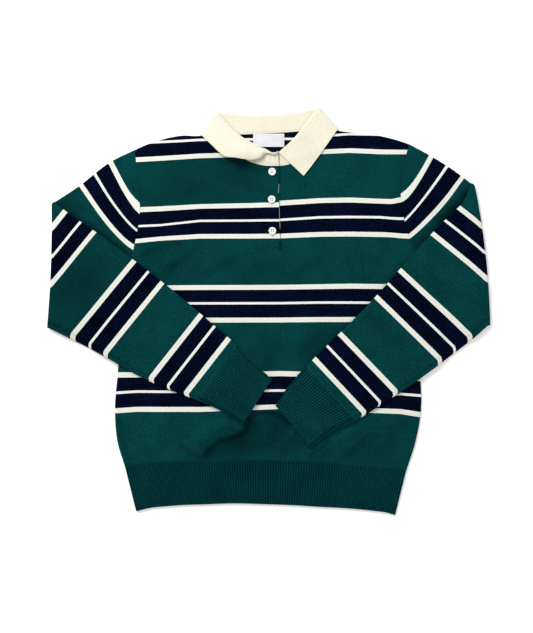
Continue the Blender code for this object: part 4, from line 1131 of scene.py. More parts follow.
def sleeve_tube(which):
    """Outer and inner grids of a sleeve, with the course and wale of its knitting, and the shade painted on
    it.
    """
    sleeve = SLEEVES[which]
    side = -1 if which == "right" else 1
    armhole = BODY_SIDES[which].armhole
    stations, hinge, along, outward = sleeve_stations(sleeve, side)
    fold_length = np.linalg.norm(np.subtract(sleeve.upper_arm.upper[-1], hinge))
    supports = [sleeve.upper_arm.upper + sleeve.upper_arm.lower[::-1], body_outline()]
    fractions = np.linspace(0, 1, SLEEVE_COLUMNS + 1)[1:-1]
    arm_length = length_of(sleeve.upper_arm.upper)
    layers = []
    for radius in (SLEEVE_RADIUS, SLEEVE_RADIUS - WALL):
        marks = tube_marks(fractions, radius)
        straight = armhole[0] + marks[:, :1] * np.subtract(armhole[-1], armhole[0])
        bulge = curve(armhole, marks[:, 0]) - straight
        flat = np.array(
            [across_rails(upper, lower, marks) + share**2 * bulge for upper, lower, share in stations]
        )
        shares = np.repeat([share for _, _, share in stations], len(marks))
        count = len(flat)
        flat = flat.reshape(-1, 2)
        height = np.tile(marks[:, 2], count)
        crosswise = np.tile(marks[:, 0], count)
        beyond = (flat - hinge) @ outward
        place = (flat - hinge) @ along
        angle = np.clip(beyond / ELBOW_NEUTRAL, 0, math.pi)
        reach = ELBOW_AXIS - height
        past = np.maximum(beyond - ELBOW_TURN, 0)
        out = np.where(beyond < 0, beyond, reach * np.sin(angle) - past)
        level = np.where(beyond < 0, height, ELBOW_AXIS - reach * np.cos(angle))
        middle = np.clip(1 - (2 * place / fold_length - 1) ** 2, 0, 1)
        out = out + sleeve.elbow_bow * middle * smooth(1 - np.abs(out) / ELBOW_BOW_REACH)
        corner = sleeve.corner * np.maximum(out, 0) * np.clip(crosswise, 0, 1) ** CORNER_POWER
        plan = hinge + (place - corner)[:, None] * along + out[:, None] * outward
        unsupported = np.min([distance_outside(plan, support) for support in supports], axis=0)
        level = level - (past > 0) * OVER_BASE * smooth((unsupported - DRAPE_START) / DRAPE_LENGTH)
        sunk = np.exp(-(((crosswise - UNDERARM_SEAM) * fold_length / SEAM_WIDTH) ** 2))
        facing_up = np.where(past > 0, SLEEVE_RADIUS - height, height - SLEEVE_RADIUS)
        shown = smooth(facing_up / (SLEEVE_RADIUS - WALL))
        swell = puff(crosswise) * smooth(past / PUFF_START)
        level = level + shown * (swell + folds(plan, sleeve.folds))
        # Shade painted on the sleeve: in its folds, along the underarm seam, and on the upper arm beside the
        # forearm
        hollow = folds(plan, sleeve.folds, "hollow") + SEAM_PAINTED_SHADE * sunk
        hollow += np.where(past > 0, 0, painted_shade_lines(plan, sleeve.under_fold))
        level = level - np.sign(facing_up) * SEAM_SINK * sunk
        layers.append(np.column_stack([plan, level]))
        if radius == SLEEVE_RADIUS:
            course, wale = sleeve_course(sleeve, flat, (1 - shares) * arm_length, side)
            past_seam = np.clip(UNDERARM_SEAM - crosswise, 0, UNDERARM_SEAM) * fold_length
            course = course - SEAM_TURN * past_seam
    return layers, count, len(marks), course, wale, hollow


for which in SLEEVES:
    (outer, inner), rows, columns, course, wale, hollow = sleeve_tube(which)
    points, faces = closed_sheet(outer, inner, grid_faces(rows, columns, wrap=True))
    tube = new_piece(
        "sleeve_tube_" + which, points, faces, striped_jersey,
        course=np.tile(course, 2), wale=np.tile(wale, 2), hollow=np.tile(hollow, 2),
    )
    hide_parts("sleeve_" + which)
    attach(tube, "root")

# Cuffs
# Rib tubes linked to the ends of the sleeves. They lie on the front of the body, their ribs along them.
CUFF_RIBS = 26
CUFF_STEPS = 22
CUFF_GREEN = "053839"
CUFF_LENGTH = 85
CUFF_WIDTH = 105
CUFF_SEAM = 0.055
CUFF_SEAM_PAINTED_SHADE = 0.4
CUFF_RIB_SHADE = (0.26, 0.99)


def cuff_tube(which):
    """Outer and inner grids of a cuff, with how far across and down it each point lies, and the shade painted
    on it.
    """
    rails = SLEEVES[which].cuff
    steps = np.linspace(0, 1, CUFF_STEPS + 1)
    uppers = curve(rails.upper, steps)
    lowers = curve(rails.lower, steps)
    heading = unit((uppers[-1] + lowers[-1]) - (uppers[0] + lowers[0]))
    fractions = np.linspace(0, 1, CUFF_RIBS * COLUMNS_PER_RIB + 1)[1:-1]
    layers = []
    for radius in (SLEEVE_RADIUS, SLEEVE_RADIUS - WALL):
        marks = tube_marks(fractions, radius)
        grid = []
        for step, upper, lower in zip(steps, uppers, lowers):
            plan = across_rails(upper, lower, marks) + heading * SEAM_GAP * (1 - step)
            swell = puff(marks[:, 0]) * smooth((marks[:, 2] - SLEEVE_RADIUS) / (SLEEVE_RADIUS - WALL))
            grid.append(np.column_stack([plan, marks[:, 2] + OVER_BASE + swell]))
        layers.append(np.array(grid).reshape(-1, 3))
    run = np.tile(marks[:, 0], CUFF_STEPS + 1)
    # Shade painted on the cuff from the sleeve's folds, and along its seam
    hollow = folds(layers[0][:, :2], SLEEVES[which].folds, "hollow")
    hollow += CUFF_SEAM_PAINTED_SHADE * np.exp(-(((run - CUFF_SEAM) * CUFF_WIDTH / SEAM_WIDTH) ** 2))
    return layers, CUFF_STEPS + 1, len(marks), run, np.repeat(steps, len(marks)), hollow


# The hem's rib again, stretched a little over the cuff, its valleys painted darker than the hem's
cuff_rib_cotton = knit_material("cuff_rib_cotton", CUFF_GREEN, rib_shade=CUFF_RIB_SHADE)
cuff_ribs = rib_tree(cuff_rib_cotton)
for which in SLEEVES:
    (outer, inner), rows, columns, run, down, hollow = cuff_tube(which)
    points, faces = closed_sheet(outer, inner, grid_faces(rows, columns, wrap=True))
    tube = new_piece(
        "cuff_tube_" + which, points, faces, cuff_rib_cotton,
        course=np.tile(down * CUFF_LENGTH, 2), wale=np.tile(run * CUFF_WIDTH, 2), hollow=np.tile(hollow, 2),
        **rib_marks(run, down),
    )
    baked(tube, cuff_ribs, Ribs=float(CUFF_RIBS), Depth=RIB_DEPTH * MM)
    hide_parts("cuff_rib_" + which)
    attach(tube, "root")

# Collar
# One length of firm cream knit, linked to the neck edge. It stands up a little, rolls over and lies back
# on the front as two pointed leaves, of which the wearer's right one arches up off the cloth.
COLLAR_WALL = 1.8
COLLAR_SEAM_GAP = 0.35
STAND_OVER_SEAM = 6.0
FRONT_ROLL_RADIUS = 1.5
BACK_STAND_HEIGHT = 3.2
LEAF_CLEARANCE = 0.6
LEAF_FALL_POWER = 1.6
ARCH_POWER = 0.8
SHORT_LEAF = 14.0
SMALLEST_ROLL = 0.25
STAND_STEPS = 4
ROLL_STEPS = 4
LEAF_STEPS = 6
CREASE_STEPS = 4
COLLAR_FINER = 4

# Each section runs from the neck seam over the roll to the leaf's edge; lift is the edge's height over
# the front, and arch the leaf's between its roll and its edge
Section = namedtuple("Section", "seam roll edge lift arch")
COLLAR_FRONT_RIGHT = [
    Section((15.8, 225.5), (14.2, 247.4), (14.0, 246.4), 0, 0),
    Section((10.5, 225.2), (7.4, 244.2), (7.1, 243.2), 0, 0),
    Section((3, 225.2), (-1.6, 248.6), (-4.6, 245.2), 0, 0),
    Section((-6, 225.6), (-8, 250.6), (-13, 238.2), 3, 1.5),
    Section((-15, 227.3), (-15.5, 253), (-28, 234.4), 6, 3),
    Section((-32, 233), (-25, 258.5), (-53, 237.5), 7, 4),
    Section((-50, 245), (-40.5, 267), (-69.5, 240.5), 5, 4),
    Section((-75, 264), (-58.5, 282.0), (-87, 256.0), 2, 2.5),
    Section((-86.8, 279.9), (-79.2, 307), (-102.8, 271.2), 0, 0),
]
COLLAR_FRONT_LEFT = [
    Section((16.1, 225.5), (16.2, 245), (53.6, 210.2), 0, 0),
    Section((31, 228), (24.5, 252), (63.6, 222.8), 0, 0),
    Section((46, 237), (34.5, 261), (74.2, 236.9), 0, 0),
    Section((60, 249), (45, 272.5), (83.8, 250.2), 0, 0),
    Section((74, 265), (58.5, 290), (94.6, 265.4), 0, 0),
    Section((85.3, 284.9), (76, 312.9), (104.9, 280.1), 0, 0),
]
COLLAR_BACK = [
    Section((-86.8, 279.9), (-79.2, 307), (-102.8, 271.2), 0, 0),
    Section((-49.6, 274.5), (-50, 304.2), (-58, 258), 0, 0),
    Section((-18, 275.6), (-18, 302.5), (-19, 253), 0, 0),
    Section((24.8, 277.6), (24.8, 304.5), (26, 254.5), 0, 0),
    Section((52.7, 279.9), (54, 309.5), (64, 263), 0, 0),
    Section((85.3, 284.9), (76, 312.9), (104.9, 280.1), 0, 0),
]

# Shade painted for small creases in the stand between the two leaves
COLLAR_PAINTED_SHADE = [
    Fold(2, 238, 78, 8, 1.6, 0, 0.1),
    Fold(9.5, 236, 98, 9, 1.6, 0, 0.12),
    Fold(14.5, 238, 90, 9, 1.4, 0, 0.2),
    Fold(-12, 231, -8, 30, 3, 0, 0.1),
]


def with_halfway(sections):
    """The sections' seam, roll, edge, lift and arch as arrays, with one more half way between each two."""
    table = np.array([(*s.seam, *s.roll, *s.edge, s.lift, s.arch) for s in sections], float)
    marks = np.linspace(0, 1, 2 * len(sections) - 1)
    table = curve(table, marks, even=True)
    return table[:, 0:2], table[:, 2:4], table[:, 4:6], table[:, 6], table[:, 7]


def collar_profile(seam, seam_z, roll, stand_z, leaf_z, edge, edge_z, arch):
    """Middle line of the collar's wall from the neck seam over the roll to the leaf's edge."""
    up = unit(roll - seam)
    start = seam + up * COLLAR_SEAM_GAP
    line = []
    for step in range(STAND_STEPS):
        part = step / STAND_STEPS
        line.append((*(start + part * (roll - start)), seam_z + part * (stand_z - seam_z)))
    radius = abs(leaf_z - stand_z) / 2
    for step in range(ROLL_STEPS + 1):
        angle = math.pi * step / ROLL_STEPS
        level = (stand_z + leaf_z) / 2 + (stand_z - leaf_z) / 2 * math.cos(angle)
        line.append((*(roll + up * radius * math.sin(angle)), level))
    for step in range(1, LEAF_STEPS + 1):
        part = step / LEAF_STEPS
        fall = (leaf_z - edge_z) * (1 - part) ** LEAF_FALL_POWER
        rise = arch * math.sin(math.pi * part**ARCH_POWER)
        line.append((*(roll + part * (edge - roll)), edge_z + fall + rise))
    return np.array(line)


def front_top(plan, left_of_slit):
    """Height of the front panel's upper side."""
    return TWO_LAYERS + lift(plan) + front_shape(plan, left_of_slit)


def collar_front(sections, left_of_slit):
    """Profiles of one front half; where the leaf is short, its roll is small."""
    seam, roll, edge, lift_at_edge, arch = with_halfway(sections)
    beside = np.full(len(seam), left_of_slit)
    seam_z = front_top(seam, beside) - WALL / 2
    edge_z = front_top(edge, beside) + LEAF_CLEARANCE + COLLAR_WALL / 2 + lift_at_edge
    profiles = []
    for k in range(len(seam)):
        leaf_length = np.linalg.norm(edge[k] - roll[k])
        radius = max(SMALLEST_ROLL, FRONT_ROLL_RADIUS * smooth(leaf_length / SHORT_LEAF))
        leaf_z = STAND_OVER_SEAM + 2 * radius
        end_z = leaf_z + (edge_z[k] - leaf_z) * smooth(leaf_length / SHORT_LEAF)
        line = collar_profile(seam[k], seam_z[k], roll[k], STAND_OVER_SEAM, leaf_z, edge[k], end_z, arch[k])
        leaf = line[-LEAF_STEPS:]
        cloth = front_top(leaf[:, :2], np.full(LEAF_STEPS, left_of_slit))
        leaf[:, 2] = np.maximum(leaf[:, 2], cloth + LEAF_CLEARANCE + COLLAR_WALL / 2)
        profiles.append(line)
    return profiles


def collar_back():
    """Profiles of the back half, its leaf tucked under the back panel."""
    seam, roll, edge, _, arch = with_halfway(COLLAR_BACK)
    low = COLLAR_WALL / 2
    stand = BACK_STAND_HEIGHT
    return [
        collar_profile(seam[k], stand, roll[k], stand, low, edge[k], low, arch[k]) for k in range(len(seam))
    ]


def collar_crease(front, back, section):
    """The turn of the collar from its front to its back at one side of the neck."""
    crease = unit(np.subtract(section.edge, section.roll))
    outward = np.array([-crease[1], crease[0]])
    if outward[0] * section.edge[0] < 0:
        outward = -outward
    profiles = []
    for step in range(1, CREASE_STEPS):
        angle = math.pi * step / CREASE_STEPS
        radius = (front[:, 2] - back[:, 2]) / 2
        share = (1 - math.cos(angle)) / 2
        plan = (1 - share) * front[:, :2] + share * back[:, :2]
        plan = plan + (radius * math.sin(angle))[:, None] * outward
        level = (front[:, 2] + back[:, 2]) / 2 + radius * math.cos(angle)
        profiles.append(np.column_stack([plan, level]))
    return profiles


def finer(grid, times):
    """A grid of points with times as many cells each way, on the smooth surface through its points."""
    for _ in range(2):
        count = times * (len(grid) - 1) + 1
        grid = curve(grid, np.linspace(0, 1, count), even=True).transpose(1, 0, 2)
    return grid


front_right = collar_front(COLLAR_FRONT_RIGHT, True)
front_left = collar_front(COLLAR_FRONT_LEFT, False)
behind = collar_back()
turn_right = collar_crease(front_right[-1], behind[0], COLLAR_BACK[0])
turn_left = collar_crease(front_left[-1], behind[-1], COLLAR_BACK[-1])
middle = np.array(front_right + turn_right + behind + turn_left[::-1] + front_left[::-1])
middle = finer(middle, COLLAR_FINER)
rows, columns = middle.shape[:2]
side = unit(np.cross(np.gradient(middle, axis=0), np.gradient(middle, axis=1))) * COLLAR_WALL / 2
points, faces = closed_sheet(
    (middle + side).reshape(-1, 3), (middle - side).reshape(-1, 3), grid_faces(rows, columns)
)
up_collar = np.cumsum(np.linalg.norm(np.diff(middle, axis=1, prepend=middle[:, :1]), axis=2), axis=1)
along_collar = np.cumsum(np.linalg.norm(np.diff(middle, axis=0, prepend=middle[:1]), axis=2), axis=0)
collar = new_piece(
    "collar_knit", points, faces, cream_cotton,
    course=np.tile(up_collar.reshape(-1), 2), wale=np.tile(along_collar.reshape(-1), 2),
    hollow=folds(points[:, :2], COLLAR_PAINTED_SHADE, "hollow"),
)
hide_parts("collar")
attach(collar, "root")

# Neck label
# A plain white woven label with turned-under ends, sewn inside the back neck.
LABEL_CENTRE = (-0.4, 265.6)
LABEL_SIZE = (48, 20.5)
LABEL_WALL = 0.5
LABEL_BULGE = 0.5
LABEL_FOLDS = [
    Fold(-21, 266, 84, 12, 1.6, -0.25, 0.1),
    Fold(21, 266, 92, 12, 1.6, -0.25, 0.1),
    Fold(-8, 262, 30, 16, 4, 0.3, 0.04),
    Fold(12, 268, -30, 14, 4, 0.25, 0.05),
]
LABEL_WHITE = "c5c5c7"

# A pick of the real weave is 0.15 mm, far too fine to show, so the threads are drawn 0.9 mm apart.
# A wave texture of scale 1 turns through 20 radians in each metre.
LABEL_PICK = 0.9
WAVE_UNIT = 20.0
LABEL_SHADE = 0.05
LABEL_RELIEF = 0.08
LABEL_STEP = 1.0

# Satin-woven polyester: smooth, cold white, a little glossy along its fine cross threads
label_satin, shader = new_material("polyester_label_satin", roughness=0.55, specular=0.2)
tree = label_satin.node_tree
place = add_node(tree, "ShaderNodeTexCoord").outputs["Object"]
pick_scale = FULL_TURN / (WAVE_UNIT * LABEL_PICK * MM)
threads = add_node(tree, "ShaderNodeTexWave", place, pick_scale, bands_direction="Y")
hollow = add_node(tree, "ShaderNodeAttribute", attribute_name="hollow").outputs["Fac"]
darkest = 1 - LABEL_SHADE / 2
light = add_node(tree, MATH, threads.outputs["Fac"], LABEL_SHADE, darkest, operation="MULTIPLY_ADD")
# Shade painted in the label's folds and at its turned ends
light = add_node(tree, MATH, light, hollow, operation="SUBTRACT")
shaded = add_node(tree, "ShaderNodeVectorMath", linear(LABEL_WHITE)[:3], None, None, light, operation="SCALE")
tree.links.new(shaded.outputs[0], shader.inputs["Base Color"])
bump = add_node(tree, "ShaderNodeBump")
bump.inputs["Distance"].default_value = LABEL_RELIEF * MM
tree.links.new(threads.outputs["Fac"], bump.inputs["Height"])
tree.links.new(bump.outputs[0], shader.inputs["Normal"])
half = np.array(LABEL_SIZE) / 2
points, faces = strip(
    np.array(LABEL_CENTRE) - half, np.array(LABEL_CENTRE) + half, WALL + SEAM_GAP, LABEL_WALL, LABEL_BULGE,
    LABEL_STEP,
)
points[:, 2] += folds(points[:, :2], LABEL_FOLDS)
label = new_piece(
    "neck_label_cloth", points, faces, label_satin, hollow=folds(points[:, :2], LABEL_FOLDS, "hollow")
)
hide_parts("neck_label")
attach(label, "root")

# Buttons
# Three pearly buttons with a raised rim and four holes, sewn through the placket's upper edge.
BUTTONS = {"top": (4.8, 216.4), "middle": (4.2, 173.8), "bottom": (5.3, 124.9)}
BUTTON_RADIUS = 5.75
BUTTON_RIM = 1.5
BUTTON_THICKNESS = 2.4
BUTTON_DISH = 0.6
BUTTON_BEVEL = 0.5
BUTTON_SEGMENTS = 64
HOLE_RADIUS = 0.8
HOLE_SPACING = 2.7
HOLE_SEGMENTS = 20
BUTTON_SHOULDER = 1.6
RIM_INNER = 0.25
BUTTON_LIFT = 0.2
BEVEL_STEPS = 4
DRILL_FROM = -1
DRILL_TO = 4
THREAD_RADIUS = 0.45
THREAD_RISE = 0.35
CREAM_THREAD = "b9b49d"


def capped(start, rings, end):
    """Points and faces of a tube through rings of points, closed to a point at each end."""
    count = len(rings[0])
    points = np.concatenate([[start], *rings, [end]])
    last = len(points) - 1
    number = np.arange(count)
    after = (number + 1) % count
    low = np.column_stack([np.zeros(count, int), 1 + after, 1 + number, 1 + number])
    tip = np.full(count, last)
    high = np.column_stack([last - count + number, last - count + after, tip, tip])
    return points, np.concatenate([low, 1 + grid_faces(len(rings), count, wrap=True), high])


def turned(profile, segments):
    """Points and faces of a profile of (radius, height) turned round Z; it starts and ends on the axis."""
    angles = FULL_TURN * np.arange(segments) / segments
    round_axis = np.column_stack([np.cos(angles), np.sin(angles)])
    rings = [np.column_stack([r * round_axis, np.full(segments, z)]) for r, z in profile[1:-1]]
    return capped((0, 0, profile[0][1]), rings, (0, 0, profile[-1][1]))


def joined(parts):
    """Several (points, faces) as one."""
    counts = np.cumsum([0] + [len(points) for points, _ in parts])
    faces = np.concatenate([faces + start for start, (_, faces) in zip(counts, parts)])
    return np.concatenate([points for points, _ in parts]), faces


def drawn_thread(start, end, rise, radius, sides=8, steps=6):
    """A short thread that arches from one hole to the next."""
    along = unit(np.subtract(end, start))
    aside = np.array([-along[1], along[0], 0])
    rings = []
    angles = FULL_TURN * np.arange(sides)[:, None] / sides
    ring = radius * (np.cos(angles) * aside + np.sin(angles) * (0, 0, 1))
    for part in np.linspace(0, 1, steps):
        arch = (0, 0, rise * math.sin(math.pi * part))
        rings.append(np.array(start) + part * np.subtract(end, start) + arch + ring)
    return capped(start, rings, end)


# Clouds in the resin are a few millimetres across
CLOUD_SIZE = 3.5
CLOUD_SHADE = 0.16
PEARL_WHITE = "dcdad4"
PEARL_COAT = 0.5

# Cast polyester with a pearl pigment, turned and polished: glossy white with faint clouds
pearl, shader = new_material("pearl_polyester", roughness=0.22, specular=0.5)
shader.inputs["Coat Weight"].default_value = PEARL_COAT
tree = pearl.node_tree
place = add_node(tree, "ShaderNodeTexCoord").outputs["Object"]
clouds = add_node(tree, "ShaderNodeTexNoise", place, None, 1 / (CLOUD_SIZE * MM), FINE_DETAIL)
light = add_node(tree, MATH, clouds, CLOUD_SHADE, 1 - CLOUD_SHADE / 2, operation="MULTIPLY_ADD")
shaded = add_node(tree, "ShaderNodeVectorMath", linear(PEARL_WHITE)[:3], None, None, light, operation="SCALE")
tree.links.new(shaded.outputs[0], shader.inputs["Base Color"])

well = BUTTON_RADIUS - BUTTON_RIM
floor_level = BUTTON_THICKNESS - BUTTON_DISH
disc = [(0, 0), (BUTTON_RADIUS - 2 * BUTTON_BEVEL, 0)]
quarter_circle = np.linspace(0, math.pi / 2, BEVEL_STEPS + 1)
for angle in quarter_circle:
    disc.append((BUTTON_RADIUS - BUTTON_BEVEL * (1 - math.sin(angle)), BUTTON_BEVEL * (2 - math.cos(angle))))
for angle in quarter_circle:
    inset = BUTTON_RIM / 2 * (1 - math.cos(angle))
    rise = (BUTTON_THICKNESS - BUTTON_SHOULDER) * math.sin(angle)
    disc.append((BUTTON_RADIUS - inset, BUTTON_SHOULDER + rise))
disc += [
    (well + RIM_INNER, BUTTON_THICKNESS - RIM_INNER / 2),
    (well - RIM_INNER, floor_level + RIM_INNER / 2),
    (well - 2 * RIM_INNER, floor_level),
    (0, floor_level),
]
corners = [(across * HOLE_SPACING / 2, up * HOLE_SPACING / 2, 0) for across in (-1, 1) for up in (-1, 1)]
threads = []
for which, place in BUTTONS.items():
    rim = np.array(place) + BUTTON_RADIUS * np.array([(1, 0), (0, 1), (-1, 0), (0, -1)])
    seat = np.array([*place, front_top(rim, np.ones(4, bool)).max() + BUTTON_LIFT])
    points, faces = turned(disc, BUTTON_SEGMENTS)
    piece = new_piece("button_disc_" + which, points + seat, faces, pearl)
    drill, faces = turned(
        [(0, DRILL_FROM), (HOLE_RADIUS, DRILL_FROM), (HOLE_RADIUS, DRILL_TO), (0, DRILL_TO)], HOLE_SEGMENTS
    )
    cutter = new_piece("drills", *joined([(drill + seat + corner, faces) for corner in corners]), pearl)
    cut = piece.modifiers.new("holes", "BOOLEAN")
    cut.operation = "DIFFERENCE"
    cut.solver = "EXACT"
    cut.object = cutter
    applied(piece)
    bpy.data.objects.remove(cutter)
    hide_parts("button_" + which)
    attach(piece, "root")
    for across in (-1, 1):
        ends = [seat + (across * HOLE_SPACING / 2, up * HOLE_SPACING / 2, floor_level) for up in (-1, 1)]
        threads.append(drawn_thread(ends[0], ends[1], THREAD_RISE, THREAD_RADIUS))

# Spun polyester sewing thread in cream: dull, and a little darker than the collar; on the neck's linking
# row that darkness is painted shade, where the row pulls into the cloth
cream_thread = knit_material("cream_sewing_thread", CREAM_THREAD, grain=PALE_KNIT_GRAIN, roughness=0.8)
points, faces = joined(threads)
sewn_on = new_piece("button_threads", points, faces, cream_thread, course=points[:, 1], wale=points[:, 0])
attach(sewn_on, "root")

# Seam stitches
# The rows of linking and lockstitch that join the pieces: round the neck, down the armholes, over the hem
# and the cuffs, at the label's ends and round the buttonholes. Each is a row of small rounded stitches.
NECK_LINK_UP = 2.8
ARMHOLE_INSET = 2.6
LABEL_END_INSET = 3.0
BUTTONHOLE_LENGTH = 13.0
BUTTONHOLE_WIDTH = 1.0
BUTTONHOLE_DROP = 1.8

# How deep a stitch sinks into the cloth
SUNK_STITCH = 0.15

# Points along each path, and what it leaves free at both ends of its seam: some points of the armhole's,
# a share of the others'
ARMHOLE_STEP = 4.0
ARMHOLE_ENDS = 3
HEM_ENDS = 0.008
HEM_POINTS = 80
CUFF_ENDS = 0.04
CUFF_POINTS = 24
LABEL_ENDS = 0.06
LABEL_POINTS = 8
BUTTONHOLE_POINTS = 25
BEAD_SEGMENTS = 8
BEAD_RINGS = 5
GREEN_THREAD = "04393b"
WHITE_THREAD = "c9c9c9"

# The rows: distance from stitch to stitch, each stitch's length and thickness, and its turn in degrees
Row = namedtuple("Row", "spacing length thickness slant")
NECK_ROW = Row(2.4, 2.1, 0.55, 0)
ARMHOLE_ROW = Row(3.1, 1.7, 0.5, 35)
HEM_ROW = Row(3.95, 2.4, 1.1, 0)
CUFF_ROW = Row(4.0, 2.4, 1.0, 0)
LABEL_ROW = Row(2.0, 1.5, 0.4, 0)
BUTTONHOLE_ROW = Row(0.9, 1.7, 0.55, 90)


def stitch_tree(material):
    """Geometry nodes that lay small rounded stitches along a mesh's edges; Slant turns each, in degrees."""
    tree, geometry, spacing, length, thickness, slant = new_tree(
        "stitch_row", "Spacing", "Length", "Thickness", "Slant"
    )
    path = add_node(tree, "GeometryNodeMeshToCurve", geometry)
    places = add_node(tree, "GeometryNodeResampleCurve", path, mode="LENGTH")
    tree.links.new(spacing, places.inputs["Length"])
    bead = add_node(tree, "GeometryNodeMeshUVSphere", BEAD_SEGMENTS, BEAD_RINGS, 0.5)
    smoothed = add_node(tree, "GeometryNodeSetShadeSmooth", bead)
    shaped = add_node(tree, "GeometryNodeTransform", smoothed)
    size = add_node(tree, "ShaderNodeCombineXYZ", length, thickness, thickness)
    angle = add_node(tree, MATH, slant, operation="RADIANS")
    about_z = add_node(tree, "ShaderNodeCombineXYZ", None, None, angle)
    tree.links.new(size.outputs[0], shaped.inputs["Scale"])
    tree.links.new(about_z.outputs[0], shaped.inputs["Rotation"])
    heading = add_node(tree, "FunctionNodeAlignRotationToVector", axis="X")
    tree.links.new(add_node(tree, "GeometryNodeInputTangent").outputs[0], heading.inputs["Vector"])
    laid = add_node(tree, "GeometryNodeInstanceOnPoints", places)
    tree.links.new(shaped.outputs[0], laid.inputs["Instance"])
    tree.links.new(heading.outputs[0], laid.inputs["Rotation"])
    return finished(tree, laid, material)


def stitch_rows(name, paths, tree, row):
    """One piece of stitches along paths, each a list of points in millimetres."""
    counts = np.cumsum([0] + [len(path) for path in paths])
    edges = [(start + k, start + k + 1) for start, path in zip(counts, paths) for k in range(len(path) - 1)]
    mesh = bpy.data.meshes.new(name)
    mesh.from_pydata((np.concatenate(paths) * MM).tolist(), edges, [])
    spacing, length, thickness = (size * MM for size in (row.spacing, row.length, row.thickness))
    piece = baked(
        placed(name, mesh), tree, Spacing=spacing, Length=length, Thickness=thickness, Slant=float(row.slant)
    )
    points = np.zeros(3 * len(piece.data.vertices))
    piece.data.vertices.foreach_get("co", points)
    points = points.reshape(-1, 3) / MM
    beside_slit = points[:, 0] < slit_line(points[:, 1])
    set_attributes(piece.data, course=body_course(points[:, :2], beside_slit), wale=points[:, 0])
    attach(piece, "root")


def on_front(plan, above=0.0):
    """Plan points laid on the front panel's upper side."""
    plan = np.asarray(plan, float)
    return np.column_stack([plan, front_top(plan, plan[:, 0] < slit_line(plan[:, 1])) + above])


# The same spun thread in the rib's green: dull, and hard to tell from the cloth but for its stitches' shade
green_thread = knit_material("green_sewing_thread", GREEN_THREAD, roughness=0.85)

# Filament polyester thread in white: smoother, so it shines a little on the label
white_thread = knit_material("white_sewing_thread", WHITE_THREAD, grain=PALE_KNIT_GRAIN, roughness=0.7)

jersey_stitches = stitch_tree(striped_jersey)
green_stitches = stitch_tree(green_thread)
cream_stitches = stitch_tree(cream_thread)
white_stitches = stitch_tree(white_thread)

top_side = side * np.sign(side[..., 2:])
neck_line = []
for line, way, distance in zip(middle, top_side, up_collar):
    at = [np.interp(NECK_LINK_UP, distance, (line + way)[:, axis]) for axis in range(3)]
    neck_line.append(at)
stitch_rows("neck_linking", [np.array(neck_line)], cream_stitches, NECK_ROW)

armholes = []
for which, inward in (("right", 1), ("left", -1)):
    line = spaced(BODY_SIDES[which].armhole, ARMHOLE_STEP) + (inward * ARMHOLE_INSET, 0)
    armholes.append(on_front(line[ARMHOLE_ENDS:-ARMHOLE_ENDS], -SUNK_STITCH))
stitch_rows("armhole_linking", armholes, jersey_stitches, ARMHOLE_ROW)

hem_line = curve(HEM_SEAM, np.linspace(HEM_ENDS, 1 - HEM_ENDS, HEM_POINTS)) - (0, SEAM_GAP / 2)
stitch_rows("hem_linking", [on_front(hem_line, -3 * SUNK_STITCH)], green_stitches, HEM_ROW)

cuff_lines = []
for sleeve in SLEEVES.values():
    share = np.linspace(CUFF_ENDS, 1 - CUFF_ENDS, CUFF_POINTS)
    start = np.array(sleeve.cuff.lower[0], float)
    plan = start + share[:, None] * np.subtract(sleeve.cuff.upper[0], start)
    level = OVER_BASE + TWO_LAYERS + puff(share) - 2 * SUNK_STITCH
    cuff_lines.append(np.column_stack([plan, level]))
stitch_rows("cuff_linking", cuff_lines, green_stitches, CUFF_ROW)

label_ends = []
for end in (-1, 1):
    x = LABEL_CENTRE[0] + end * (LABEL_SIZE[0] / 2 - LABEL_END_INSET)
    y = LABEL_CENTRE[1] + np.linspace(LABEL_ENDS - 0.5, 0.5 - LABEL_ENDS, LABEL_POINTS) * LABEL_SIZE[1]
    plan = np.column_stack([np.full(LABEL_POINTS, x), y])
    level = WALL + SEAM_GAP + lift(plan) + LABEL_WALL + folds(plan, LABEL_FOLDS)
    label_ends.append(np.column_stack([plan, level]))
stitch_rows("label_stitches", label_ends, white_stitches, LABEL_ROW)

# A buttonhole's outline is a circle whose two halves are drawn apart
angles = np.linspace(0, FULL_TURN, BUTTONHOLE_POINTS)
half_run = (BUTTONHOLE_LENGTH - BUTTONHOLE_WIDTH) / 2
outline = BUTTONHOLE_WIDTH * np.column_stack([np.cos(angles), np.sin(angles)])
outline[:, 1] += half_run * np.sign(np.round(np.sin(angles), 6))
buttonholes = [on_front(outline + (x, y - BUTTONHOLE_DROP), -SUNK_STITCH) for x, y in BUTTONS.values()]
stitch_rows("buttonhole_stitches", buttonholes, green_stitches, BUTTONHOLE_ROW)

# Floor, camera and light
# A plain white floor with soft light from all round and a little more from the upper left.

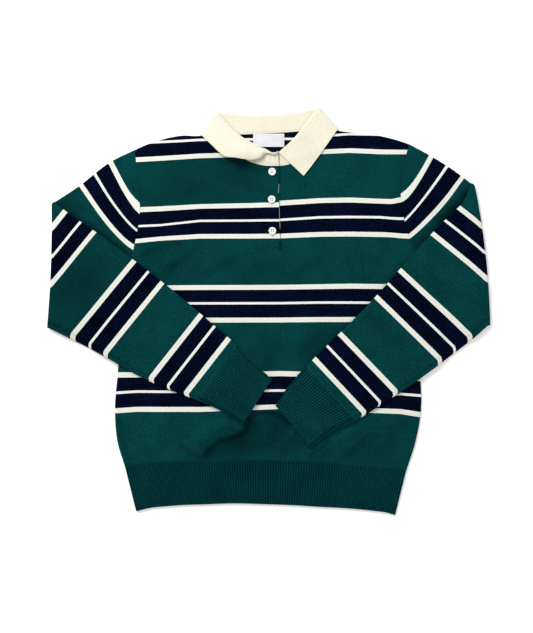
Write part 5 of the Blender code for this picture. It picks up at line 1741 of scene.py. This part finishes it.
# The photo's scale in millimetres a pixel, its size, and the pixel where the plan's origin lies
PIXEL = 1.55
IMAGE_SIZE = (533, 633)
IMAGE_ORIGIN = (269, 311.6)
LENS = 60
SENSOR = 36
NEAREST = 10
FARTHEST = 20000
FLOOR_WIDTH = 4000
FLOOR_DROP = 0.2
PAPER_WHITE = "fcfcfc"
SKY_STRENGTH = 0.74

mesh = bpy.data.meshes.new("floor")
half = FLOOR_WIDTH / 2 * MM
mesh.from_pydata([(-half, -half, 0), (half, -half, 0), (half, half, 0), (-half, half, 0)], [], [(0, 1, 2, 3)])
floor = placed("floor", mesh)
floor.location.z = -FLOOR_DROP * MM

# Seamless white paper: matt and even, so that only the sweater's soft shadow shows on it
paper, shader = new_material("white_paper_floor", roughness=0.9, specular=0.25)
shader.inputs["Base Color"].default_value = linear(PAPER_WHITE)
mesh.materials.append(paper)

camera_data = bpy.data.cameras.new("camera")
camera_data.lens = LENS
camera_data.sensor_width = SENSOR
camera = placed("camera", camera_data)
distance = IMAGE_SIZE[1] * PIXEL * LENS / SENSOR
camera.location = (
    (IMAGE_SIZE[0] / 2 - IMAGE_ORIGIN[0]) * PIXEL * MM,
    (IMAGE_ORIGIN[1] - IMAGE_SIZE[1] / 2) * PIXEL * MM,
    (distance + TWO_LAYERS) * MM,
)
camera_data.clip_start = NEAREST * MM
camera_data.clip_end = FARTHEST * MM
bpy.context.scene.camera = camera

Light = namedtuple("Light", "name x y z size watts")
LIGHTS = [
    Light("key", -900, 1300, 1300, 900, 42),
    Light("fill", 1100, -500, 1900, 1800, 9),
]
for light in LIGHTS:
    data = bpy.data.lights.new(light.name, "AREA")
    data.size = light.size * MM
    data.energy = light.watts
    lamp = placed(light.name, data)
    lamp.location = (light.x * MM, light.y * MM, light.z * MM)
    lamp.rotation_mode = "QUATERNION"
    lamp.rotation_quaternion = (-lamp.location).to_track_quat("-Z", "Y")

world = bpy.data.worlds.new("world")
world.use_nodes = True
world.node_tree.nodes["Background"].inputs["Color"].default_value = (1, 1, 1, 1)
world.node_tree.nodes["Background"].inputs["Strength"].default_value = SKY_STRENGTH
bpy.context.scene.world = world
bpy.context.scene.view_settings.view_transform = "Standard"
